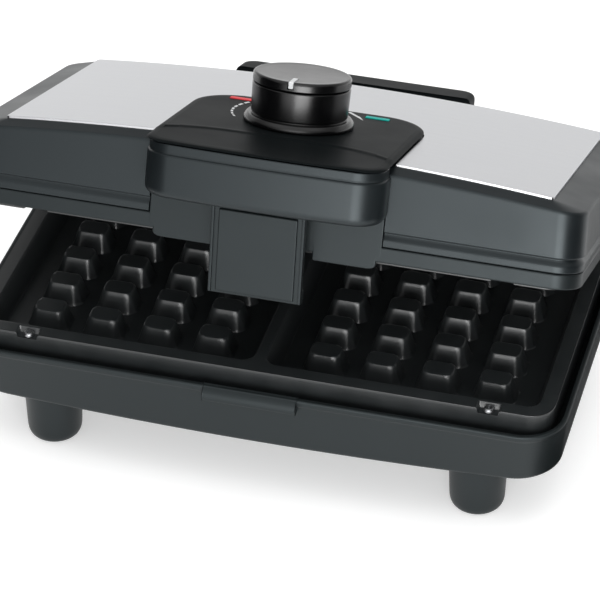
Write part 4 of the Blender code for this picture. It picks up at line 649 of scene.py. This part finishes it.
def make_plate_screws():
    """Pan-head screws in the plates' notches: a domed head turned round, a cross cut into it."""
    seat = PLATE_TOP_Z - NOTCH_DROP
    profile = [(0.0, seat - SCREW_LENGTH), (SCREW_SHANK, seat - SCREW_LENGTH), (SCREW_SHANK, seat + 0.15),
               (SCREW_HEAD, seat + 0.15), (SCREW_HEAD - 0.1, seat + SCREW_HEAD_TOP),
               (0.0, seat + SCREW_HEAD_TOP)]
    profile = soften(profile, [0, 0.3, 0, 0.2, 1.0, 0])
    for prefix, lid, body in (("lower", False, "base"), ("upper", True, "lid")):
        for label, (x, y) in SCREW_PLACES.items():
            solids = [turned(profile, (x, y, 0.0), 40)]
            solids += [block(*around(x, y, a, b), seat + CROSS_FLOOR, seat + 3.0, "z")
                       for a, b in ((CROSS_LONG, CROSS_SHORT), (CROSS_SHORT, CROSS_LONG))]
            if lid:
                solids = [mirrored(solid) for solid in solids]
            head, *arms = [mesh_of([solid], lid) for solid in solids]
            piece("%s_screw_%s" % (prefix, label), worked(head, arms), body, ZINC,
                  "%s_plate_screw_%s" % (prefix, label))


def make_gland():
    """Rubber cable gland: a ribbed collar turned round a line that runs back."""
    profile = soften([(3.4, 146.0), (5.6, 146.0), (5.6, 151.3), (7.5, 151.3), (7.5, 153.5), (5.2, 153.5),
                      (4.6, 153.4), (3.4, 153.4)], [0, 0.4, 0, 0.4, 0.9, 0.3, 0.3, 0], steps=5)
    ring = turned(np.vstack((profile, profile[:1])), (GLAND_X, 0.0, GLAND_Z), 48, "y")
    piece("rubber_cable_gland", mesh_of([ring], False), "base", RUBBER, "cable_gland")


# ---- lid

def lid_ring(inset_x, inset_y, radius, height, drop):
    """One ring of the lid: an outline inset from its sides and its front and back, crowned by a drop."""
    flat = outline(HALF_WIDTH - inset_x, LID_FACE_Y + inset_y, BODY_BACK - inset_y, radius, radius)
    return lifted(flat, height, drop)


def make_lid_frame():
    """Lower rim of the lid and the panel with its two ears round the latch, in one mesh.

    The panel stands a hair in front of the rim's face, so that the two never share a plane.
    """
    profile = soften([(0.0, LID_RIM_Z), (0.0, FRAME_TOP_Z), (WALL, FRAME_TOP_Z), (WALL, LID_RIM_Z)],
                     [1.0, 0.9, 0.3, 0.8], True)
    ring = mesh_of([skin([lid_ring(i, i, LID_CORNER - i, z, 0.0) for i, z in profile], True)])
    right = [(EAR_INNER, PANEL_FOOT_Z), (EAR_INNER, EAR_FOOT_Z), (EAR_OUTER, EAR_FOOT_Z), (EAR_OUTER, 66.4),
             (PANEL_HALF, 67.4), (PANEL_HALF, PANEL_TOP_Z)]
    reaches = [1.2, 1.2, 5.0, 1.2, 1.2, 1.2]
    ears = soften(right + [(-x, z) for x, z in right[::-1]], reaches + reaches[::-1], True, 9)
    panel = mesh_of([slab(ears, LID_FACE_Y - PANEL_PROUD, LID_FACE_Y + WALL, "y", 0.6, 5)])
    piece("lid_rim_and_ears", joined([ring, panel]), "lid", BLACK, "lid_frame")


def make_lid_shell():
    """Lid shell, from outside to inside: crowned top, sloped band, shoulder, tall face, groove and lip.

    Each stop is (side inset, front and back inset, corner radius, height, fall of the crown).
    """
    lap_x, lap_y = CROWN_INSET_X + CROWN_LAP, CROWN_INSET_Y + CROWN_LAP
    stops = [(lap_x, lap_y, CROWN_CORNER, CROWN_TOP_Z, CROWN_DROP),
             (CROWN_INSET_X, CROWN_INSET_Y, CROWN_CORNER, CROWN_TOP_Z, CROWN_DROP),
             (0.9, 0.6, 11.6, FACE_TOP_Z, CROWN_DROP)]
    stops += [(inset, inset, LID_CORNER - inset, height, 0.0)
              for inset, height in ((0.0, 78.7), (1.4, 78.1), (1.1, 77.0), (0.0, 75.2), (0.0, SHELL_FOOT_Z),
                                    (WALL, SHELL_FOOT_Z), (3.7, 75.0), (3.7, 79.0))]
    stops += [(2.9, 2.9, LID_CORNER - 2.9, 101.5, CROWN_DROP),
              (lap_x, lap_y, CROWN_CORNER, CROWN_TOP_Z - 2.2, CROWN_DROP)]
    path = soften(stops, [0, 0.5, 2.0, 0.6, 0.5, 0.5, 0.7, 0.6, 0.3, 0, 0, 0, 0], steps=7)
    shell = mesh_of([capped([lid_ring(*stop) for stop in path][::-1])])
    door = mesh_of([block(-52.0, 70.0, 52.0, 88.3, 1.0, 7.2, "y", 0.4)])
    piece("lid_shell_moulding", worked(shell, [door]), "lid", GRAPHITE, "lid_shell")


def make_steel():
    """Steel cover: a crowned sheet whose border is bent down in a tight round, cut out to fit the deck."""
    path = soften([(4.0, 107.3), (0.9, 107.3), (0.5, 107.05), (0.0, 107.05), (0.0, STEEL_TOP_Z),
                   (4.0, STEEL_TOP_Z)], [0, 0.1, 0.1, 0.1, 0.22, 0])
    rings = []
    for inset, height in path:
        corner = max(STEEL_CORNER - inset, STEEL_LEAST_CORNER)
        flat = outline(STEEL_HALF - inset, STEEL_FRONT + inset, STEEL_BACK - inset, corner, corner,
                       columns=60)
        rings.append(lifted(flat, height, CROWN_DROP))
    steel = mesh_of([capped(rings)])
    flat = outline(CONSOLE_HALF + STEEL_SEAM, DECK_FRONT - 10, DECK_BACK + STEEL_SEAM, DECK_FRONT_CORNER,
                   DECK_BACK_CORNER + STEEL_SEAM, columns=8, corner=16)
    cut = mesh_of([capped([lifted(flat, 98.0), lifted(flat, 112.0)])])
    piece("brushed_steel_cover", worked(steel, [cut]), "lid", STEEL, "steel_cover")


def make_grip():
    """Grip: a wall profile carried round a deep rounded front, a line below its band, a pocket for the latch.

    Each stop is (inset, height, rise of the arched foot).
    """
    path = soften([(11.0, GRIP_FOOT_Z, 0.3), (0.0, GRIP_FOOT_Z, 0.3), (0.0, 102.6, 0.0), (0.9, 102.9, 0.0),
                   (0.7, 103.8, 0.0), (0.7, GRIP_TOP_Z, 0.0), (11.0, GRIP_TOP_Z, 0.0)],
                  [0, 4.2, 1.0, 0.25, 0.4, 0.5, 0], steps=8)
    rings = []
    for inset, height, arch in path:
        flat = outline(CONSOLE_HALF - inset, GRIP_FRONT + inset, GRIP_BACK, 12.5 - inset, 0.6, CONSOLE_BOW,
                       30, 16, 3)
        rings.append(lifted(flat, height, -arch, CONSOLE_HALF))
    grip = mesh_of([capped(rings)])
    half = LATCH_HALF + LATCH_GAP
    pocket = mesh_of([block(-half, -15.3, half, 0.3, 70.0, 103.2, "z", 0.5)])
    piece("grip_housing", worked(grip, [pocket]), "lid", GRAPHITE, "console_grip")


def deck_relief(x, y):
    """Deck height: flat to a crease that curves forward at its ends, then a slope down to the front edge."""
    ahead = 16.6 - 6.0 * np.clip(np.abs(x + 1.0) / 44.0, 0, 1.3) ** 4 - y
    step = 0.35 * np.clip(ahead / 1.6, 0, 1) ** 0.8
    slope = 0.55 * np.clip((ahead - 1.6) / 26.0, 0, 1)
    ridge = 0.10 * np.exp(-((ahead + 0.9) / 1.2) ** 2)
    return DECK_TOP_Z - step - slope + ridge


def make_deck():
    """Console deck: its relief on rings that shrink to the middle line, a rounded border, three cuts."""
    foot = DECK_FOOT_Z + 0.05
    border = soften([(9.0, foot), (0.5, foot), (0.0, DECK_FOOT_Z + 0.5), (0.0, 108.5), (1.2, 109.35),
                     (DECK_BEVEL, DECK_TOP_Z)], [0, 0.3, 0.3, 0.5, 0.9, 0])
    rings = []
    for inset, height in border:
        corners = [max(radius - inset, 0.5) for radius in (DECK_FRONT_CORNER, DECK_BACK_CORNER)]
        flat = outline(CONSOLE_HALF - inset, DECK_FRONT + inset, DECK_BACK - inset, *corners, CONSOLE_BOW,
                       36, 16, 24)
        share = np.clip((height - DECK_FOOT_Z) / (DECK_TOP_Z - DECK_FOOT_Z), 0, 1)
        rings.append(np.column_stack((flat, height + (deck_relief(*flat.T) - DECK_TOP_Z) * share)))
    middle = (DECK_FRONT + DECK_BACK) / 2
    inner = []
    for share in np.linspace(0.0, 1.0, 60):
        pulled = rings[-1][:, :2].copy()
        pulled[:, 1] = middle + (pulled[:, 1] - middle) * (1 - share)
        inner.append(np.column_stack((pulled, deck_relief(*pulled.T))))
    deck = mesh_of([skin([spine(rings[0])] + rings), skin(inner)])
    wide, deep = LENS_HALF_X + WINDOW_GAP_X, LENS_HALF_Y + WINDOW_GAP_Y
    cuts = [block(*around(x, LENS_Y, wide, deep), *DECK_CUT, "z", 0.6) for x in LENS_X.values()]
    cuts.append(rod(KNOB_BORE, *DECK_CUT, (0, KNOB_Y, 0), 32))
    deck = worked(deck, [mesh_of([cut]) for cut in cuts])
    piece("satin_console_deck", deck, "lid", SATIN, "console_deck")


def make_lenses():
    """Lenses: rounded bars that stand a little proud of the deck, on a flange below it."""
    for label, finish in (("red", RED), ("green", GREEN)):
        solids = []
        for grow, reach, low, high, edge in ((0.0, 0.6, 106.7, 109.95, 0.35),
                                             (LENS_FLANGE, 0.4, 106.2, 107.15, 0.2)):
            place = around(LENS_X[label], LENS_Y, LENS_HALF_X + grow, LENS_HALF_Y + grow)
            solids.append(slab(box_outline(*place, reach), low, high, "z", edge))
        piece(label + "_indicator_lens", mesh_of(solids), "lid", finish, "lens_" + label)


def make_marks():
    """Heat scale printed beside the knob: dashes on an arc that closes in and thins out, and one wedge."""
    flats = []
    span = SCALE_TO - SCALE_FROM
    for middle in np.linspace(SCALE_FROM, SCALE_TO, SCALE_DASHES):
        degrees = np.linspace(middle - DASH_HALF_TURN, middle + DASH_HALF_TURN, 7)
        turn = np.radians(degrees)
        reach = 37.6 - 9.0 * (degrees - SCALE_FROM) / span
        wide = 0.75 - 0.3 * (middle - SCALE_FROM) / span
        outer, inner = (np.column_stack(((reach + s) * np.cos(turn), KNOB_Y + (reach + s) * np.sin(turn)))
                        for s in (wide, -wide))
        flats.append(np.vstack((outer, inner[::-1])))
    flats.append(np.array([(24.3, 69.2), (21.6, 75.0), (15.4, 82.2), (14.2, 81.2), (19.8, 74.6)]))
    low, high = DECK_TOP_Z - PRINT_SINK, DECK_TOP_Z + PRINT_RISE
    marks = [slab(flat, low, high, "z", BLOCK_EDGE, 1) for flat in flats]
    piece("printed_heat_scale", mesh_of(marks), "lid", PRINT, None)


def make_knob():
    """Knob, cap and pointer: turned profiles with a skirt and a parting line, a slot for the pointer."""
    profile = soften(KNOB_PROFILE, [0, 0, 0.5, 0.4, 0.9, 0.7, 0.2, 0.1, 0.3, 0.4, 0.2, 0])
    body = mesh_of([turned(profile, (0, KNOB_Y, 0), 144)])
    piece("gloss_knob_body", body, "knob", GLOSS, "knob")
    profile = soften(CAP_PROFILE, [0, 0.3, 0.3, 1.5, 1.2, 0], steps=8)
    cap = mesh_of([turned(profile, (0, KNOB_Y, 0), 144)])
    slot = block(-SLOT_HALF, KNOB_Y - 23.0, SLOT_HALF, KNOB_Y - 12.3, 128.5, 134.0, "z", 0.3)
    cap = worked(cap, [mesh_of([slot])])
    piece("knob_cap_disc", cap, "knob", GLOSS, "knob_cap")
    flat = box_outline(-POINTER_HALF, KNOB_Y - 21.4, POINTER_HALF, KNOB_Y - 12.6, 0.5)
    bar = mesh_of([slab(flat, 128.8, 131.95, "z", 0.3)])
    piece("white_knob_pointer", bar, "knob", PRINT, "knob_pointer")


def make_latch():
    """Latch: a sloped plate with flanges and a raised face, a hook at its foot, barrels at its top."""
    pivot_y, pivot_z = LATCH_PIVOT
    top_y, foot_y, foot_z, thick, proud = -11.2, -5.2, 43.0, 2.6, 0.95
    down = np.array([foot_y - top_y, foot_z - pivot_z])
    length = np.linalg.norm(down)
    down /= length
    out = np.array([down[1], -down[0]])

    def at(along, lift):
        """Point on the slope: so far down from the pivot's height, so far out from the plate's face."""
        return np.array([top_y, pivot_z]) + down * along + out * lift

    plate = soften([at(0, 0), at(length - 0.2, 0), at(length, -thick), (-0.9, foot_z + 1.4), (-0.9, 49.3),
                    at(length - 6.4, -thick), at(0, -thick)], [0, 0.8, 0.5, 0.6, 0.3, 0.8, 0.6], True, 5)
    back = mesh_of([slab(plate, -LATCH_HALF, LATCH_HALF, "x", 0.3)])
    face = soften([at(7.6, -0.6), at(8.4, proud), at(length - 1.6, proud), at(length - 1.2, -0.6)],
                  [0, 0.6, 0.8, 0], True, 5)
    flange = soften([at(3.0, -0.6), at(3.0, proud), at(length - 0.6, proud), at(length - 0.4, -0.6)],
                    [0, 0.6, 0.9, 0], True, 5)
    parts = [slab(face, -17.3, 17.3, "x", 0.55)]
    parts += [slab(flange, *sorted((side * 19.25, side * 20.53)), "x", 0.32) for side in (-1, 1)]
    parts += [rod(BARREL_RADIUS, low, high, (0, pivot_y, pivot_z), 40, "x")
              for low, high in ((-LATCH_HALF, -BAY_HALF), (BAY_HALF, LATCH_HALF))]
    bay = mesh_of([block(-13.0, 85.1, 3.6, 94.9, -BAY_HALF, BAY_HALF, "x")])
    meshes = [worked(back, [bay]), mesh_of(parts)]
    piece("front_latch", joined(meshes), "latch", BLACK, "latch")


def make_hinge_bar():
    """Hinge bar: a rounded bar behind the steel cover, with an arm at each end down to its hinge pin."""
    path = [(8.0, BAR_FOOT_Z), (0.0, BAR_FOOT_Z), (0.0, BAR_TOP_Z), (8.0, BAR_TOP_Z)]
    path = soften(path, [0, 3.4, 3.2, 0], steps=8)
    rings = []
    for inset, height in path:
        flat = outline(BAR_HALF - inset, BAR_FRONT + min(inset, 0.6), BAR_BACK - inset, 0.8,
                       max(7.0 - inset * 0.8, 1.0), columns=20, rows=4)
        rings.append(lifted(flat, height))
    bar = mesh_of([capped(rings)])
    turn = np.radians(np.linspace(180, 360, 25))
    knuckle = np.column_stack((HINGE_Y + KNUCKLE * np.cos(turn), HINGE_Z + KNUCKLE * np.sin(turn)))
    arm = np.vstack(([(168.5, 81.0), (155.5, 81.0)], knuckle))
    arms = [slab(arm, *sorted((side * ARM_INNER_X, side * (BAR_HALF - 0.05))), "x", 0.9) for side in (-1, 1)]
    piece("hinge_bar_and_arms", joined([bar, mesh_of(arms)]), "lid", SATIN, "hinge_bar")


make_tub()
make_feet()
make_plate("lower", "base")
make_plate("upper", "lid")
make_plate_screws()
make_gland()
make_lid_frame()
make_lid_shell()
make_steel()
make_grip()
make_deck()
make_lenses()
make_marks()
make_knob()
make_latch()
make_hinge_bar()

# Inner pieces keep their CAD shapes and get their own finishes
INNER = [
    (SHEATH, "lower_heater", "upper_heater"),
    (TRAY, "lower_heater_clamp", "upper_heater_clamp", "lower_reflector", "upper_reflector"),
    (CERAMIC, "terminal_block", "thermostat"), (SLEEVE, "thermal_fuse"), (LAMINATE, "control_board"),
    (LAMP_RED, "lamp_red"), (LAMP_GREEN, "lamp_green"),
    (PIN_STEEL, "latch_pin", "latch_spring", "hinge_pin_left", "hinge_pin_right", "thermostat_shaft")]
for inner_finish, *node_names in INNER:
    for node_name in node_names:
        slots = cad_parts[node_name].data.materials
        slots.clear()
        slots.append(inner_finish)


# ---- floor, light and camera

# Strength of the even light, and of the floor's own for camera and reflections; the floor's half size
DIFFUSE_LEVEL, FLOOR_LIFT, FLOOR_REACH = 0.8, 0.38, 6.0

# The studio as gloss sees it: smooth steps over the direction (component, from, to, value before and after)
GLOSS_STEPS = {
    "behind": ("Y", 0.1, 0.7, 0.0, 1.0),
    "horizon": ("Z", 0.02, 0.16, 0.72, 0.0),
    "strip foot": ("Z", 0.10, 0.20, 0.0, 0.6),
    "strip top": ("Z", 0.30, 0.42, 1.0, 0.0),
    "overhead": ("Z", 0.6, 0.95, 0.30, 1.0),
    "front": ("Y", -0.7, -0.3, 1.0, 0.0),
    "front top": ("Z", 0.72, 0.88, 1.0, 0.0),
    "front left": ("X", -0.55, 0.15, 0.25, 1.8),
    "front right": ("X", 0.3, 0.6, 1.0, 0.1),
}

# Each lit field of the studio is a product of steps, and gloss sees the sum of the fields
GLOSS_FIELDS = [("behind", "horizon"), ("behind", "strip foot", "strip top"), ("overhead",),
                ("front", "front top", "front left", "front right")]

# Black cards between two corners in metres: two upright ones beside the object, and a level one at its right
# that is painted shade on the floor, seen only in reflections
CARDS = {"left flag": ((-0.26, -0.42, 0.001), (-0.26, 0.02, 0.30)),
         "right flag": ((0.36, -0.42, 0.001), (0.36, 0.02, 0.30)),
         "low shade card": ((0.139, -0.10, 0.001), (0.20, 0.30, 0.001))}

# Lamps: place and target in metres, size in metres, power in watts, and whether reflections see it
LAMPS = {
    "front softbox": ((0.21, -0.68, 0.19), (0.0, 0.0, 0.10), (0.40, 0.30), 2.75, True),
    "front fill": ((-0.10, -1.30, 0.30), (0.0, 0.0, 0.10), (1.1, 0.55), 1.0, True),
    "overhead softbox": ((0.1, -0.1, 1.3), (0.0, 0.0, 0.0), (1.2, 1.0), 6.0, False),
}

# Camera: turn to the right of the front, rise, lens, and its place along its own axes in millimetres
CAMERA_TURN, CAMERA_RISE = math.radians(15.12), math.radians(36.21)
CAMERA_LENS, CAMERA_SENSOR, CLIP_NEAR, CLIP_FAR = 201.84, 36.0, 0.05, 50.0
CAMERA_RIGHT, CAMERA_UP, CAMERA_BACK = 22.0, 85.84, 1491.6


def sheet(name, low, high):
    """Rectangle between two corners, either level or upright along Y."""
    (x0, y0, z0), (x1, y1, z1) = low, high
    mesh = bpy.data.meshes.new(name)
    mesh.from_pydata([(x0, y0, z0), (x1, y0, z1), (x1, y1, z1), (x0, y1, z0)], [], [(0, 1, 2, 3)])
    return placed(name, mesh)


def make_flag(name, low, high):
    """Black card near the object, which only gloss sees, meant to darken round glossy flanks."""
    card = sheet(name, low, high)
    card.data.materials.append(new_finish("black velvet card", "#020202", 0.5, Specular_IOR_Level=0.0)[0])
    card.visible_camera = card.visible_diffuse = card.visible_shadow = card.visible_transmission = False


def make_floor():
    """Pale matt floor that keeps the object's shadow, lifted towards white for camera and reflections."""
    floor = sheet("floor", (-FLOOR_REACH, -FLOOR_REACH, 0.0), (FLOOR_REACH, FLOOR_REACH, 0.0))
    finish = bpy.data.materials.new("pale matt floor")
    finish.use_nodes = True
    tree = finish.node_tree
    tree.nodes.clear()
    rays = add_node(tree, "LightPath")
    seen = rays.outputs["Is Camera Ray"]
    for kind in ("Is Glossy Ray", "Is Transmission Ray"):
        most = add_node(tree, "Math", operation="MAXIMUM", i0=seen, i1=rays.outputs[kind])
        seen = most.outputs[0]
    strength = add_node(tree, "Math", operation="MULTIPLY", i0=seen, i1=FLOOR_LIFT)
    lift = add_node(tree, "Emission", Color=linear("#ffffff"), Strength=strength.outputs[0])
    matt = add_node(tree, "BsdfDiffuse", Color=linear("#e6e6e6"))
    both = add_node(tree, "AddShader", i0=matt.outputs[0], i1=lift.outputs[0])
    add_node(tree, "OutputMaterial", Surface=both.outputs[0])
    floor.data.materials.append(finish)


def make_world():
    """White for the camera; for gloss a horizon and a strip behind, the zenith and a field in front."""
    world = bpy.data.worlds.new("studio")
    bpy.context.scene.world = world
    world.use_nodes = True
    tree = world.node_tree
    tree.nodes.clear()
    rays = add_node(tree, "LightPath")
    place = add_node(tree, "TexCoord").outputs["Generated"]
    way = add_node(tree, "SeparateXYZ", Vector=place)
    steps = {}
    for name, (component, start, end, before, after) in GLOSS_STEPS.items():
        steps[name] = add_node(tree, "MapRange", interpolation_type="SMOOTHSTEP",
                               Value=way.outputs[component], From_Min=start, From_Max=end,
                               To_Min=before, To_Max=after).outputs["Result"]
    gloss = 0.0
    for factors in GLOSS_FIELDS:
        field = 1.0
        for name in factors:
            both = add_node(tree, "Math", operation="MULTIPLY", i0=field, i1=steps[name])
            field = both.outputs[0]
        gloss = add_node(tree, "Math", operation="ADD", i0=gloss, i1=field).outputs[0]
    lit = add_node(tree, "Mix", data_type="FLOAT", i0=rays.outputs["Is Glossy Ray"],
                   i2=DIFFUSE_LEVEL, i3=gloss)
    seen = add_node(tree, "Math", operation="MAXIMUM", i0=rays.outputs["Is Camera Ray"],
                    i1=rays.outputs["Is Transmission Ray"])
    strength = add_node(tree, "Mix", data_type="FLOAT", i0=seen.outputs[0],
                        i2=lit.outputs[0], i3=1.0)
    back = add_node(tree, "Background", Color=linear("#ffffff"), Strength=strength.outputs[0])
    add_node(tree, "OutputWorld", Surface=back.outputs[0])


def make_lamp(name, place, target, size, power, shine):
    """Soft rectangular lamp at a place, facing a target."""
    lamp = bpy.data.lights.new(name, "AREA")
    lamp.shape = "RECTANGLE"
    lamp.size, lamp.size_y = size
    lamp.energy = power
    holder = placed(name, lamp)
    holder.location = place
    holder.rotation_euler = (Vector(target) - Vector(place)).to_track_quat("-Z", "Y").to_euler()
    holder.visible_camera = False
    holder.visible_glossy = shine


def make_camera():
    """Camera of the main view: to the right of the front and above it, with a long lens."""
    turn, rise = CAMERA_TURN, CAMERA_RISE
    ahead = Vector((-math.sin(turn) * math.cos(rise), math.cos(turn) * math.cos(rise), -math.sin(rise)))
    right = Vector((math.cos(turn), math.sin(turn), 0.0))
    up = right.cross(ahead)
    data = bpy.data.cameras.new("camera")
    data.lens, data.sensor_width = CAMERA_LENS, CAMERA_SENSOR
    data.clip_start, data.clip_end = CLIP_NEAR, CLIP_FAR
    camera = placed("camera", data)
    place = CAMERA_RIGHT * right + CAMERA_UP * up - CAMERA_BACK * ahead - Vector((0, ORIGIN_Y, 0))
    camera.location = place * MM
    camera.rotation_euler = ahead.to_track_quat("-Z", "Y").to_euler()
    bpy.context.scene.camera = camera


make_floor()
make_world()
for label, (low, high) in CARDS.items():
    make_flag(label, low, high)
for label, lamp in LAMPS.items():
    make_lamp(label, *lamp)
make_camera()
bpy.context.scene.view_settings.view_transform = "Standard"
